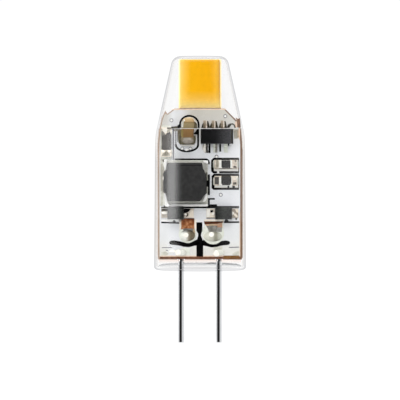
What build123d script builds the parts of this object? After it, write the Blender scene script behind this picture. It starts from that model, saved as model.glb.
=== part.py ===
from build123d import *
import math
import os

os.makedirs("parts", exist_ok=True)

# Bi-pin LED capsule lamp. Millimetres, +Z up, the front of the board faces -Y.
# The origin is midway between the two pin tips.

# ---------------------------------------------------------------- driving sizes
PIN_PITCH = 4.0          # centre to centre of the two pins
PIN_R = 0.35             # pin radius
PIN_OUT = 7.75           # free length of each pin below the base
PIN_TOP = 9.75           # upper end of each pin, inside the board's notch
PIN_TIP_R = 0.30         # rounding of the pin tips
PIN_ROOT_R = 0.335       # drawn-down root, inside the plug and the solder

Z_BASE = PIN_OUT         # underside of the capsule
Z_SHOULDER = 21.90       # where the straight body meets the taper
Z_LEDGE = 22.65          # fine ledge inside the cap
Z_TOP = 30.25            # crown of the cap
R_BASE = 4.86            # outer radius at the base
R_SHOULDER = 4.74        # outer radius at the shoulder
TAPER = 0.225            # radius lost per millimetre of height above the shoulder
R_CROWN_EDGE = 0.95      # rounding of the crown
R_BASE_EDGE = 0.22       # rounding of the base rim
R_SHOULDER_BLEND = 7.5   # soft blend at the shoulder

BORE_BASE = 4.58         # bore radius just above the plug
BORE_MID = 4.53          # bore radius where the bore starts to close in
Z_BORE_MID = 20.90
BORE_LEDGE = 4.42        # bore radius just below the ledge
BORE_ABOVE = 4.35        # bore radius just above the ledge
CROWN_WALL = 0.20        # thickness of the crown
R_CROWN_INNER = 0.45     # rounding inside the crown
PLUG_T = 0.40            # thickness of the base plug
PLUG_SEAT_R = 4.62       # counterbore that takes the plug
PLUG_R = 4.61
PIN_HOLE_R = 0.345       # the plug grips the pin roots

PCB_T = 0.60             # board thickness
PCB_HALF_W = 4.45
PCB_Z0 = 8.85            # lower edge of the board
PCB_Z1 = 24.75           # upper edge of the board
F = -PCB_T / 2           # front face of the board
B = PCB_T / 2            # rear face of the board
VIA_R = 0.13

LED_HALF_W = 2.25        # LED carrier plate
LED_Z0 = 23.60
LED_Z1 = 29.96
LED_T = 0.30
PHOS_HALF_W = 2.10       # phosphor layer
PHOS_Z0 = 24.77
PHOS_Z1 = 29.90
PHOS_T = 0.35
DIE = (0.50, 0.12, 0.35)


# ---------------------------------------------------------------- helpers
def box(x0, x1, y0, y1, z0, z1):
    return Pos((x0 + x1) / 2, (y0 + y1) / 2, (z0 + z1) / 2) * Box(
        x1 - x0, y1 - y0, z1 - z0
    )


def soft_box(x0, x1, y0, y1, z0, z1, r):
    b = box(x0, x1, y0, y1, z0, z1)
    return fillet(b.edges(), r)


def prism_y(points_xz, y0, y1):
    """Outline in XZ, between two depths."""
    face = make_face(Polyline(*[(x, y1, z) for x, z in points_xz], close=True))
    return extrude(face, amount=y1 - y0, dir=(0, -1, 0))


def prism_x(points_yz, x0, x1):
    """Outline in YZ, between two widths."""
    face = make_face(Polyline(*[(x0, y, z) for y, z in points_yz], close=True))
    return extrude(face, amount=x1 - x0, dir=(1, 0, 0))


def lathe(points_rz):
    face = make_face(Polyline(*[(r, 0, z) for r, z in points_rz], close=True))
    return revolve(face, axis=Axis.Z)


def ring_edges(solid, z, tol=0.02):
    return [
        e
        for e in solid.edges()
        if e.geom_type == GeomType.CIRCLE and abs(e.center().Z - z) < tol
    ]


def dome(x, z, rx, rz, height, face_y, sign):
    """Solder dome standing on a face; sign -1 is the front, +1 the rear."""
    n = 14
    rows = [(math.sin(math.pi / 2 * i / n), math.cos(math.pi / 2 * i / n)) for i in range(n + 1)]
    pts = [(0.0, 0.0)] + [(c, s) for s, c in rows]
    face = make_face(Polyline(*[(r, 0, h) for r, h in pts], close=True))
    unit = revolve(face, axis=Axis.Z)
    unit = Rot(90, 0, 0) * unit if sign < 0 else Rot(-90, 0, 0) * unit
    unit = scale(unit, by=(rx, height, rz))
    return Pos(x, face_y, z) * unit


nodes = {}

# ---------------------------------------------------------------- clear cap
r_crown = R_SHOULDER - TAPER * (Z_TOP - Z_SHOULDER)
outer = lathe(
    [(0, Z_BASE), (R_BASE, Z_BASE), (R_SHOULDER, Z_SHOULDER), (r_crown, Z_TOP), (0, Z_TOP)]
)
outer = fillet(ring_edges(outer, Z_SHOULDER), R_SHOULDER_BLEND)
outer = fillet(ring_edges(outer, Z_TOP), R_CROWN_EDGE)
outer = fillet(ring_edges(outer, Z_BASE), R_BASE_EDGE)

z_in = Z_TOP - CROWN_WALL
r_in = BORE_ABOVE - TAPER * (z_in - Z_LEDGE)
inner = lathe(
    [
        (0, Z_BASE - 1),
        (PLUG_SEAT_R, Z_BASE - 1),
        (PLUG_SEAT_R, Z_BASE + PLUG_T),
        (BORE_BASE, Z_BASE + PLUG_T),
        (BORE_MID, Z_BORE_MID),
        (BORE_LEDGE, Z_LEDGE),
        (BORE_ABOVE, Z_LEDGE),
        (r_in, z_in),
        (0, z_in),
    ]
)
inner = fillet(ring_edges(inner, z_in), R_CROWN_INNER)
nodes["clear_cap"] = outer - inner

# ---------------------------------------------------------------- base plug
plug = Pos(0, 0, Z_BASE + PLUG_T / 2) * Cylinder(PLUG_R, PLUG_T)
for sx in (-1, 1):
    plug -= Pos(sx * PIN_PITCH / 2, 0, Z_BASE) * Cylinder(PIN_HOLE_R, 3)
nodes["base_plug"] = plug

# ---------------------------------------------------------------- contact pins
pin = Pos(0, 0, PIN_OUT / 2) * Cylinder(PIN_R, PIN_OUT)
pin = fillet(ring_edges(pin, 0), PIN_TIP_R)
pin += Pos(0, 0, (PIN_OUT + PIN_TOP) / 2) * Cylinder(PIN_ROOT_R, PIN_TOP - PIN_OUT)
pin_l = Pos(-PIN_PITCH / 2, 0, 0) * pin
pin_r = Pos(PIN_PITCH / 2, 0, 0) * pin
nodes["pin_left"] = pin_l
nodes["pin_right"] = pin_r

# ---------------------------------------------------------------- circuit board
# Sloped shoulders follow the taper; the two points are burrs where the board
# was snapped out of its panel.
outline = [
    (-PCB_HALF_W + 0.08, PCB_Z0),
    (PCB_HALF_W - 0.08, PCB_Z0),
    (PCB_HALF_W, PCB_Z0 + 0.08),
    (PCB_HALF_W, 20.90),
    (4.39, 21.80),
    (4.33, 22.50),
    (4.24, 22.72),
    (4.13, 23.22),
    (4.04, 23.66),
    (3.93, 23.44),
    (2.60, PCB_Z1),
    (-2.69, PCB_Z1),
    (-3.44, 24.19),
    (-3.66, 24.52),
    (-3.84, 24.14),
    (-4.03, 23.72),
    (-4.13, 23.24),
    (-4.24, 22.72),
    (-4.33, 22.50),
    (-4.39, 21.80),
    (-PCB_HALF_W, 20.90),
    (-PCB_HALF_W, PCB_Z0 + 0.08),
]
board = prism_y(outline, F, B)
NOTCH_HALF = 0.36
for sx in (-1, 1):
    x = sx * PIN_PITCH / 2
    board -= box(x - NOTCH_HALF, x + NOTCH_HALF, -1, 1, PCB_Z0 - 1, PIN_TOP + 0.03)
VIAS = [
    (-3.01, 23.50),
    (2.67, 23.94),
    (2.19, 15.64),
    (1.74, 19.66),
    (-1.87, 20.50),
    (-1.00, 20.50),
]
for x, z in VIAS:
    board -= Pos(x, 0, z) * Rot(90, 0, 0) * Cylinder(VIA_R, 2)
nodes["circuit_board"] = board

# ---------------------------------------------------------------- LED
# The carrier plate laps behind the board's upper edge.
plate = box(-LED_HALF_W, LED_HALF_W, B, B + LED_T, LED_Z0, LED_Z1)
plate = fillet(plate.edges().filter_by(Axis.Y), 0.12)
nodes["led_plate"] = plate

yf = B                    # front of the plate
yb = B + LED_T            # rear of the plate
dies_f = []
dies_b = []
for i in range(3):
    for j in range(4):
        cx = (i - 1) * 1.25
        cz = 27.25 + (j - 1.5) * 1.10
        dies_f.append(
            box(cx - DIE[0] / 2, cx + DIE[0] / 2, yf - DIE[1], yf, cz - DIE[2] / 2, cz + DIE[2] / 2)
        )
        dies_b.append(
            box(cx - DIE[0] / 2, cx + DIE[0] / 2, yb, yb + DIE[1], cz - DIE[2] / 2, cz + DIE[2] / 2)
        )
nodes["led_chips"] = Compound(children=dies_f + dies_b)

phos_f = box(-PHOS_HALF_W, PHOS_HALF_W, yf - PHOS_T, yf, PHOS_Z0, PHOS_Z1)
phos_f = fillet(phos_f.edges().filter_by(Axis.Y), 0.16)
phos_f = fillet(phos_f.faces().sort_by(Axis.Y)[0].edges(), 0.14)
for d in dies_f:
    phos_f -= d
nodes["led_phosphor_front"] = phos_f

phos_b = box(-PHOS_HALF_W, PHOS_HALF_W, yb, yb + PHOS_T, PHOS_Z0, PHOS_Z1)
phos_b = fillet(phos_b.edges().filter_by(Axis.Y), 0.16)
phos_b = fillet(phos_b.faces().sort_by(Axis.Y)[-1].edges(), 0.14)
for d in dies_b:
    phos_b -= d
nodes["led_phosphor_back"] = phos_b

joints = []
for sx in (-1, 1):
    d = dome(sx * 1.35, LED_Z0, 0.55, 0.42, 0.34, B, 1)
    joints.append(d - plate)
nodes["led_solder"] = Compound(children=joints)


# ---------------------------------------------------------------- chip parts
def chip(x0, x1, z0, z1, depth, along, end, sign, wall=0.035, r=0.06):
    """Ceramic chip with two wrapped metal ends. Returns body, [end, end]."""
    y_in = F if sign < 0 else B
    ya, yb_ = sorted((y_in, y_in + sign * depth))
    yi0, yi1 = sorted((y_in + sign * wall, y_in + sign * (depth - wall)))
    body = soft_box(x0 + wall, x1 - wall, yi0, yi1, z0 + wall, z1 - wall, 0.04)
    if along == "z":
        a = soft_box(x0, x1, ya, yb_, z0, z0 + end, r)
        b = soft_box(x0, x1, ya, yb_, z1 - end, z1, r)
    else:
        a = soft_box(x0, x0 + end, ya, yb_, z0, z1, r)
        b = soft_box(x1 - end, x1, ya, yb_, z0, z1, r)
    return body, [a - body, b - body]


# brown ceramic capacitor, upright
CAP_X0, CAP_X1 = -2.02, -0.56
CAP_Z0, CAP_Z1 = 20.93, 23.82
cap_body, cap_ends = chip(CAP_X0, CAP_X1, CAP_Z0, CAP_Z1, 0.95, "z", 0.58, -1)
nodes["capacitor_body"] = cap_body
nodes["capacitor_terminals"] = Compound(children=cap_ends)

# grey upright chip at the left
res_body, res_ends = chip(-4.08, -3.00, 19.65, 22.76, 0.55, "z", 0.78, -1)
nodes["input_resistor_body"] = res_body
nodes["input_resistor_terminals"] = Compound(children=res_ends)

# two sense resistors at the right, with dark coats over the resistive film
RES_Z = {"resistor_upper": (18.42, 19.32), "resistor_lower": (16.62, 17.52)}
RES_X0, RES_X1 = 1.50, 3.90
RES_T = 0.45
ends = []
coats = []
for name, (z0, z1) in RES_Z.items():
    body, two = chip(RES_X0, RES_X1, z0, z1, RES_T, "x", 0.52, -1)
    nodes[name] = body
    ends += two
    y_top = F - (RES_T - 0.035)
    coats.append(box(2.32, 3.18, y_top - 0.03, y_top, z0 + 0.05, z1 - 0.05))
nodes["resistor_terminals"] = Compound(children=ends)
nodes["resistor_coats"] = Compound(children=coats)

# ---------------------------------------------------------------- driver chip
IC_X0, IC_X1 = 0.07, 3.25
IC_Z0, IC_Z1 = 21.03, 22.60
IC_Y0, IC_Y1 = F - 1.06, F - 0.10
ic = box(IC_X0, IC_X1, IC_Y0, IC_Y1, IC_Z0, IC_Z1)
ic = chamfer(ic.faces().sort_by(Axis.Y)[0].edges(), 0.16, 0.07)
ic = fillet(ic.edges().filter_by(Axis.Y), 0.05)
nodes["driver_ic"] = ic

LEAD_W = 0.40
lead_t = 0.14
y_out0, y_out1 = F - 0.64, F - 0.64 + lead_t
leads = []
for cx in (0.55, 1.43, 2.37):
    pts = [
        (y_out0, IC_Z1),
        (y_out0, IC_Z1 + 0.24),
        (F - lead_t, IC_Z1 + 0.36),
        (F - lead_t, IC_Z1 + 0.88),
        (F, IC_Z1 + 0.88),
        (F, IC_Z1 + 0.26),
        (y_out1, IC_Z1 + 0.14),
        (y_out1, IC_Z1),
    ]
    leads.append(prism_x(pts, cx - LEAD_W / 2, cx + LEAD_W / 2))
for cx in (0.62, 1.62, 2.72):
    pts = [
        (y_out0, IC_Z0),
        (y_out0, IC_Z0 - 0.24),
        (F - lead_t, IC_Z0 - 0.36),
        (F - lead_t, IC_Z0 - 0.92),
        (F, IC_Z0 - 0.92),
        (F, IC_Z0 - 0.26),
        (y_out1, IC_Z0 - 0.14),
        (y_out1, IC_Z0),
    ]
    leads.append(prism_x(pts, cx - LEAD_W / 2, cx + LEAD_W / 2))
nodes["driver_ic_leads"] = Compound(children=leads)

# ---------------------------------------------------------------- choke
IND_CX, IND_CZ = -1.60, 17.01
BASE_H = 0.32
BX0, BX1 = -3.90, 0.82
BZ0, BZ1 = 14.42, 19.30
frame_pts = [
    (BX0 + 0.25, BZ0),
    (BX1 - 0.25, BZ0),
    (BX1, BZ0 + 0.25),
    (BX1, BZ1 - 0.25),
    (BX1 - 0.25, BZ1),
    (BX0 + 0.25, BZ1),
    (BX0, BZ1 - 0.25),
    (BX0, BZ0 + 0.25),
]
base = prism_y(frame_pts, F - BASE_H, F)
base = fillet(base.faces().sort_by(Axis.Y)[0].edges(), 0.08)
nodes["inductor_base"] = base


def barrel(y0, y1, grow=0.0):
    """Squarish block with an ear on the left and a swelling side on the right."""
    pts = [
        (-1.85, 2.02), (-1.88, 1.24), (-2.14, 1.10), (-2.26, 0.92), (-2.26, -0.97), (-2.15, -1.09), (-1.87, -1.16), (-1.82, -2.02),
        (1.54, -2.02), (1.80, -1.84), (1.91, -1.56), (2.10, -1.32), (2.22, -1.02), (2.28, -0.45),
        (2.28, 0.25), (2.22, 0.78), (2.08, 1.16), (1.90, 1.44), (1.86, 2.02),
    ]
    k = 1.0 + grow / 1.86
    solid = prism_y([(IND_CX + a * k, IND_CZ + b * k) for a, b in pts], y0, y1)
    return fillet(solid.edges().filter_by(Axis.Y), 0.13)


IY0 = F - 1.72           # front of the choke
IY1 = F - BASE_H         # rear of the choke, on its frame
FL = 0.42                # flange thickness
POST_R, COIL_R = 1.05, 1.85
flange_f = barrel(IY0, IY0 + FL)
flange_f = fillet(flange_f.faces().sort_by(Axis.Y)[0].edges(), 0.12)
flange_r = barrel(IY1 - FL, IY1)
mid0, mid1 = IY0 + FL, IY1 - FL
mid = (mid0 + mid1) / 2
post = Pos(IND_CX, mid, IND_CZ) * Rot(90, 0, 0) * Cylinder(POST_R, mid1 - mid0)
coil_disc = Pos(IND_CX, mid, IND_CZ) * Rot(90, 0, 0) * Cylinder(COIL_R, mid1 - mid0)
nodes["inductor_core"] = flange_f + post + flange_r
nodes["inductor_winding"] = coil_disc - post
nodes["inductor_resin"] = barrel(mid0, mid1, -0.02) - coil_disc

# ---------------------------------------------------------------- diodes
DZ0, DZ1 = 13.08, 14.34
D_T = 0.92


def diode(x0, x1, tab0, tab1, sign):
    y_in = F if sign < 0 else B
    ya, yb_ = sorted((y_in + sign * 0.03, y_in + sign * D_T))
    body = box(x0, x1, ya, yb_, DZ0, DZ1)
    outer_face = body.faces().sort_by(Axis.Y)[0 if sign < 0 else -1]
    body = chamfer(outer_face.edges(), 0.14, 0.07)
    ta, tb = sorted((y_in, y_in + sign * 0.18))
    zc0, zc1 = (DZ0 + DZ1) / 2 - 0.48, (DZ0 + DZ1) / 2 + 0.48
    tabs = []
    for a, b in ((tab0, x0), (x1, tab1)):
        t = box(a, b, ta, tb, zc0, zc1)
        tabs.append(fillet(t.edges().filter_by(Axis.Z), 0.05))
    return body, tabs


d_l, t_l = diode(-3.42, -1.72, -4.08, -0.66, -1)
d_r, t_r = diode(1.60, 3.36, 0.66, 4.04, -1)
nodes["diode_left"] = d_l
nodes["diode_right"] = d_r
nodes["diode_leads"] = Compound(children=t_l + t_r)

d_l2, t_l2 = diode(-3.42, -1.72, -4.08, -0.66, 1)
d_r2, t_r2 = diode(1.60, 3.36, 0.66, 4.04, 1)
nodes["rear_diodes"] = Compound(children=[d_l2, d_r2])
nodes["rear_diode_leads"] = Compound(children=t_l2 + t_r2)

rc_body, rc_ends = chip(-1.60, 1.60, 17.10, 18.70, 1.0, "x", 0.55, 1)
nodes["rear_capacitor"] = rc_body
nodes["rear_capacitor_terminals"] = Compound(children=rc_ends)

# ---------------------------------------------------------------- copper and solder
PAD_T = 0.06
PADS = [
    # x and z of the round end, its radius, then the tongue: x0, x1, upper z
    (-1.30, 11.50, 0.90, -1.98, -0.60, 13.17),
    (1.38, 11.58, 1.12, 0.46, 2.46, 13.04),
]
pads = []
blobs = []
for x, z, r, x0, x1, z1 in PADS:
    round_end = Pos(x, F - PAD_T / 2, z) * Rot(90, 0, 0) * Cylinder(r, PAD_T)
    pads.append(round_end + box(x0, x1, F - PAD_T, F, z, z1))
    blobs.append(dome(x, z, r - 0.02, r - 0.02, 0.34, F - PAD_T, -1))
# the left tongue is notched where it would run in under the diode
pads[0] -= box(-2.05, -1.70, F - 0.08, F, DZ0 - 0.02, 13.25)
nodes["copper_pads"] = Compound(children=pads)
nodes["pad_solder"] = Compound(children=blobs)

joints = []
for sx in (-1, 1):
    x = sx * PIN_PITCH / 2
    for sign, face_y in ((-1, F), (1, B)):
        d = dome(x, 9.55, 0.62, 0.36, 0.34, face_y, sign)
        joints.append(d - pin_l - pin_r)
nodes["pin_solder"] = Compound(children=joints)

# ---------------------------------------------------------------- export
for name, shape in nodes.items():
    export_step(shape, f"parts/{name}.step")
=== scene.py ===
import bpy, bmesh, math
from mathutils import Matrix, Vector


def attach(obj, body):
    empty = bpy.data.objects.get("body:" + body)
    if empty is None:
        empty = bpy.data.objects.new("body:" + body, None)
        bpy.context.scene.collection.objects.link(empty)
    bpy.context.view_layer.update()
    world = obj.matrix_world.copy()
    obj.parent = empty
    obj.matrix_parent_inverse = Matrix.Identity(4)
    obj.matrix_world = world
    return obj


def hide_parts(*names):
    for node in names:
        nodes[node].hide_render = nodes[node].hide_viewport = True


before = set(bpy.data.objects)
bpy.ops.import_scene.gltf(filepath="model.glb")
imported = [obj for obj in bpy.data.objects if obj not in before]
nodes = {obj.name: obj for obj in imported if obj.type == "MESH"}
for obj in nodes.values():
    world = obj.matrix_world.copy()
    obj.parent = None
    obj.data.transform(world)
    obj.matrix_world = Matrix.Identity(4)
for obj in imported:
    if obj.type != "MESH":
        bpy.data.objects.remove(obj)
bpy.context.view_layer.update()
MM = 0.001
scene = bpy.context.scene
scene.view_settings.view_transform = "Standard"
scene.view_settings.look = "None"

# ------------------------------------------------------------------ sizes, in mm
S = 9.47                 # front drawing units in one millimetre
Z_BASE = 7.75            # underside of the capsule
Y0 = 269.5               # drawing height of the underside
F = -0.30                # front face of the board
B = 0.30                 # rear face of the board
MASK = 0.018             # thickness of the white mask
SILK = 0.008             # thickness of the printed lines


def X(u):
    return (u - 200.0) / S


def Z(v):
    return Z_BASE + (Y0 - v) / S


def P(u, v):
    """A point of the front drawing, as x and z in millimetres."""
    return (X(u), Z(v))


# ------------------------------------------------------------------ mesh helpers
def finish_object(name, bm, mats, smooth=False, angle=None):
    bmesh.ops.remove_doubles(bm, verts=bm.verts, dist=1e-9)
    bm.normal_update()
    me = bpy.data.meshes.new(name)
    bm.to_mesh(me)
    bm.free()
    for m in mats if isinstance(mats, (list, tuple)) else [mats]:
        me.materials.append(m)
    for p in me.polygons:
        p.use_smooth = smooth
    if smooth and angle is not None:
        me.set_sharp_from_angle(angle=math.radians(angle))
    ob = bpy.data.objects.new(name, me)
    scene.collection.objects.link(ob)
    return ob


def piece(name, bm, mats, smooth=False, angle=None, stands_for=()):
    ob = finish_object(name, bm, mats, smooth, angle)
    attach(ob, "root")
    if stands_for:
        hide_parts(*stands_for)
    return ob


def add_lathe(bm, profile, seg, flip=False, cx=0.0, cy=0.0, mat=0):
    """Turns an open profile of (r, z) about the vertical axis; ends on the axis are closed with a fan."""
    rings = []
    for r, z in profile:
        if r < 1e-6:
            rings.append([bm.verts.new((cx * MM, cy * MM, z * MM))])
        else:
            rings.append(
                [
                    bm.verts.new(
                        (
                            (cx + r * math.cos(2 * math.pi * i / seg)) * MM,
                            (cy + r * math.sin(2 * math.pi * i / seg)) * MM,
                            z * MM,
                        )
                    )
                    for i in range(seg)
                ]
            )
    for a, b in zip(rings, rings[1:]):
        for i in range(seg):
            j = (i + 1) % seg
            if len(a) == 1 and len(b) == 1:
                continue
            if len(a) == 1:
                f = [a[0], b[j], b[i]]
            elif len(b) == 1:
                f = [a[i], a[j], b[0]]
            else:
                f = [a[i], a[j], b[j], b[i]]
            bm.faces.new(list(reversed(f)) if flip else f).material_index = mat


def round_corner(p0, p1, p2, r, n=8):
    """Points that round the corner p1 between p0 and p2."""
    a = Vector((p0[0] - p1[0], p0[1] - p1[1])).normalized()
    b = Vector((p2[0] - p1[0], p2[1] - p1[1])).normalized()
    half = math.acos(max(-1, min(1, a.dot(b)))) / 2
    t = r / math.tan(half)
    start = Vector(p1) + a * t
    end = Vector(p1) + b * t
    centre = Vector(p1) + (a + b).normalized() * (r / math.sin(half))
    out = []
    a0 = math.atan2(start.y - centre.y, start.x - centre.x)
    a1 = math.atan2(end.y - centre.y, end.x - centre.x)
    while a1 - a0 > math.pi:
        a1 -= 2 * math.pi
    while a1 - a0 < -math.pi:
        a1 += 2 * math.pi
    for i in range(n + 1):
        k = a0 + (a1 - a0) * i / n
        out.append((centre.x + r * math.cos(k), centre.y + r * math.sin(k)))
    return out


def add_prism(bm, poly, y_back, y_front, mat=0):
    """A flat outline in XZ (mm), from the rear depth to the front depth."""
    area = sum(
        poly[i][0] * poly[(i + 1) % len(poly)][1] - poly[(i + 1) % len(poly)][0] * poly[i][1]
        for i in range(len(poly))
    )
    pts = poly if area > 0 else list(reversed(poly))
    front = [bm.verts.new((x * MM, y_front * MM, z * MM)) for x, z in pts]
    back = [bm.verts.new((x * MM, y_back * MM, z * MM)) for x, z in pts]
    out = y_front < y_back
    faces = []
    faces.append(bm.faces.new(front if out else list(reversed(front))))
    faces.append(bm.faces.new(list(reversed(back)) if out else back))
    n = len(pts)
    for i in range(n):
        j = (i + 1) % n
        q = [front[i], back[i], back[j], front[j]]
        faces.append(bm.faces.new(q if out else list(reversed(q))))
    for f in faces:
        f.material_index = mat


def add_prism_x(bm, poly, x0, x1, mat=0):
    """A flat outline in YZ (mm), from x0 to x1."""
    a = [bm.verts.new((x0 * MM, y * MM, z * MM)) for y, z in poly]
    b = [bm.verts.new((x1 * MM, y * MM, z * MM)) for y, z in poly]
    made = [bm.faces.new(a), bm.faces.new(list(reversed(b)))]
    n = len(poly)
    for i in range(n):
        j = (i + 1) % n
        made.append(bm.faces.new([a[i], b[i], b[j], a[j]]))
    for f in made:
        f.material_index = mat
    bmesh.ops.recalc_face_normals(bm, faces=made)


def stroke(points, w):
    """Outline of a line of width w along points, with mitred corners."""
    pts = [Vector(p) for p in points]
    n = len(pts)
    left, right = [], []
    for i in range(n):
        if 0 < i < n - 1:
            d0 = (pts[i] - pts[i - 1]).normalized()
            d1 = (pts[i + 1] - pts[i]).normalized()
        elif i == 0:
            d0 = d1 = (pts[1] - pts[0]).normalized()
        else:
            d0 = d1 = (pts[-1] - pts[-2]).normalized()
        n0 = Vector((-d0.y, d0.x))
        n1 = Vector((-d1.y, d1.x))
        m = (n0 + n1).normalized()
        wi = w[i] if isinstance(w, (list, tuple)) else w
        k = (wi / 2) / max(0.35, m.dot(n0))
        left.append(tuple(pts[i] + m * k))
        right.append(tuple(pts[i] - m * k))
    return left + list(reversed(right))


def add_ring(bm, x, z, r0, r1, y_back, y_front, mat=0, n=24):
    for i in range(n):
        a0, a1 = 2 * math.pi * i / n, 2 * math.pi * (i + 1) / n
        quad = [
            (x + r0 * math.cos(a0), z + r0 * math.sin(a0)),
            (x + r1 * math.cos(a0), z + r1 * math.sin(a0)),
            (x + r1 * math.cos(a1), z + r1 * math.sin(a1)),
            (x + r0 * math.cos(a1), z + r0 * math.sin(a1)),
        ]
        add_prism(bm, quad, y_back, y_front, mat)


def add_dome(bm, x, y, z, rx, h, rz, sign=-1, seg=32, rows=10, power=1.0, lean=(0.0, 0.0), mat=0):
    """A solder dome on a face: sign -1 stands out to the front, +1 to the rear."""
    rings = []
    for k in range(rows + 1):
        t = math.pi / 2 * k / rows
        c, s = math.cos(t) ** power, math.sin(t)
        ox, oz = lean[0] * s, lean[1] * s
        if k == rows:
            rings.append([bm.verts.new(((x + ox) * MM, (y + sign * h) * MM, (z + oz) * MM))])
        else:
            rings.append(
                [
                    bm.verts.new(
                        (
                            (x + ox + rx * c * math.cos(2 * math.pi * i / seg)) * MM,
                            (y + sign * h * s) * MM,
                            (z + oz + rz * c * math.sin(2 * math.pi * i / seg)) * MM,
                        )
                    )
                    for i in range(seg)
                ]
            )
    made = [bm.faces.new(rings[0] if sign > 0 else list(reversed(rings[0])))]
    for a, b in zip(rings, rings[1:]):
        for i in range(seg):
            j = (i + 1) % seg
            f = [a[i], a[j], b[0]] if len(b) == 1 else [a[i], a[j], b[j], b[i]]
            made.append(bm.faces.new(f if sign < 0 else list(reversed(f))))
    for f in made:
        f.material_index = mat


def add_ramp(bm, x0, x1, z0, z1, y, h, toward, sign=-1, n=8, crown=0.25, mat=0):
    """A concave solder fillet on a face. It is highest (h) at the side named by toward: 'x0', 'x1', 'z0' or 'z1'."""
    m = 8
    grid = []
    for i in range(n + 1):
        row = []
        for j in range(m + 1):
            a, b = i / n, j / m
            edge = 1.0 - crown * (2 * b - 1) ** 2
            rise = h * (1 - a) ** 1.8 * edge + 0.012
            squeeze = 1.0 - 0.16 * a * a
            if toward in ("z0", "z1"):
                zz = z0 + (z1 - z0) * a if toward == "z0" else z1 - (z1 - z0) * a
                xx = (x0 + x1) / 2 + (x1 - x0) * (b - 0.5) * squeeze
            else:
                xx = x0 + (x1 - x0) * a if toward == "x0" else x1 - (x1 - x0) * a
                zz = (z0 + z1) / 2 + (z1 - z0) * (b - 0.5) * squeeze
            row.append((xx, y + sign * rise, zz))
        grid.append(row)
    top = [[bm.verts.new((p[0] * MM, p[1] * MM, p[2] * MM)) for p in row] for row in grid]
    bot = [[bm.verts.new((p[0] * MM, y * MM, p[2] * MM)) for p in row] for row in grid]
    made = []
    for i in range(n):
        for j in range(m):
            made.append(bm.faces.new([top[i][j], top[i + 1][j], top[i + 1][j + 1], top[i][j + 1]]))
            made.append(bm.faces.new([bot[i][j], bot[i][j + 1], bot[i + 1][j + 1], bot[i + 1][j]]))
    for i in range(n):
        made.append(bm.faces.new([top[i][0], bot[i][0], bot[i + 1][0], top[i + 1][0]]))
        made.append(bm.faces.new([top[i][m], top[i + 1][m], bot[i + 1][m], bot[i][m]]))
    for j in range(m):
        made.append(bm.faces.new([top[0][j], top[0][j + 1], bot[0][j + 1], bot[0][j]]))
        made.append(bm.faces.new([top[n][j], bot[n][j], bot[n][j + 1], top[n][j + 1]]))
    for f in made:
        f.material_index = mat
    bmesh.ops.recalc_face_normals(bm, faces=made)


def add_upright(bm, levels, y_back, sign=-1, mat=0):
    """An upright rounded part on a face, given as levels of (z, x0, x1, depth)."""
    rings = []
    for z, x0, x1, d in levels:
        c = min(0.20, 0.42 * (x1 - x0), 0.6 * d)
        pts = [(x0, 0.0), (x1, 0.0)]
        for k in range(5):
            a = math.pi / 2 * k / 4
            pts.append((x1 - c + c * math.cos(a), d - c + c * math.sin(a)))
        for k in range(5):
            a = math.pi / 2 * k / 4
            pts.append((x0 + c - c * math.sin(a), d - c + c * math.cos(a)))
        rings.append([bm.verts.new((x * MM, (y_back + sign * y) * MM, z * MM)) for x, y in pts])
    made = [bm.faces.new(rings[0]), bm.faces.new(list(reversed(rings[-1])))]
    n = len(rings[0])
    for a, b in zip(rings, rings[1:]):
        for i in range(n):
            j = (i + 1) % n
            made.append(bm.faces.new([a[i], a[j], b[j], b[i]]))
    for f in made:
        f.material_index = mat
    bmesh.ops.recalc_face_normals(bm, faces=made)


def add_rib(bm, r, z, a0, a1, thick, n=40, m=8, mat=0):
    """A fine raised line round part of the wall, thinning out at its ends."""
    rings = []
    for i in range(n + 1):
        t = i / n
        a = math.radians(a0 + (a1 - a0) * t)
        k = thick * max(0.05, min(1.0, 4.0 * min(t, 1 - t))) ** 0.5
        ring = []
        for j in range(m):
            b = 2 * math.pi * j / m
            rr = r + k * math.cos(b)
            ring.append(bm.verts.new((rr * math.sin(a) * MM, -rr * math.cos(a) * MM, (z + k * math.sin(b)) * MM)))
        rings.append(ring)
    made = [bm.faces.new(rings[0]), bm.faces.new(list(reversed(rings[-1])))]
    for a, b in zip(rings, rings[1:]):
        for i in range(m):
            j = (i + 1) % m
            made.append(bm.faces.new([a[i], a[j], b[j], b[i]]))
    for f in made:
        f.material_index = mat
    bmesh.ops.recalc_face_normals(bm, faces=made)


# ------------------------------------------------------------------ materials
def new_mat(name):
    m = bpy.data.materials.new(name)
    m.use_nodes = True
    nt = m.node_tree
    for n in list(nt.nodes):
        nt.nodes.remove(n)
    out = nt.nodes.new("ShaderNodeOutputMaterial")
    p = nt.nodes.new("ShaderNodeBsdfPrincipled")
    nt.links.new(p.outputs[0], out.inputs[0])
    return m, nt, p, out


def noise(nt, scale, detail=3.0, rough=0.55, coord="Object", stretch=(1, 1, 1)):
    tc = nt.nodes.new("ShaderNodeTexCoord")
    mp = nt.nodes.new("ShaderNodeMapping")
    mp.inputs["Scale"].default_value = stretch
    nt.links.new(tc.outputs[coord], mp.inputs["Vector"])
    n = nt.nodes.new("ShaderNodeTexNoise")
    n.inputs["Scale"].default_value = scale
    n.inputs["Detail"].default_value = detail
    n.inputs["Roughness"].default_value = rough
    nt.links.new(mp.outputs[0], n.inputs["Vector"])
    return n.outputs["Fac"]


def axis(nt, which, coord="Generated"):
    tc = nt.nodes.new("ShaderNodeTexCoord")
    sp = nt.nodes.new("ShaderNodeSeparateXYZ")
    nt.links.new(tc.outputs[coord], sp.inputs[0])
    return sp.outputs[which]


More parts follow.
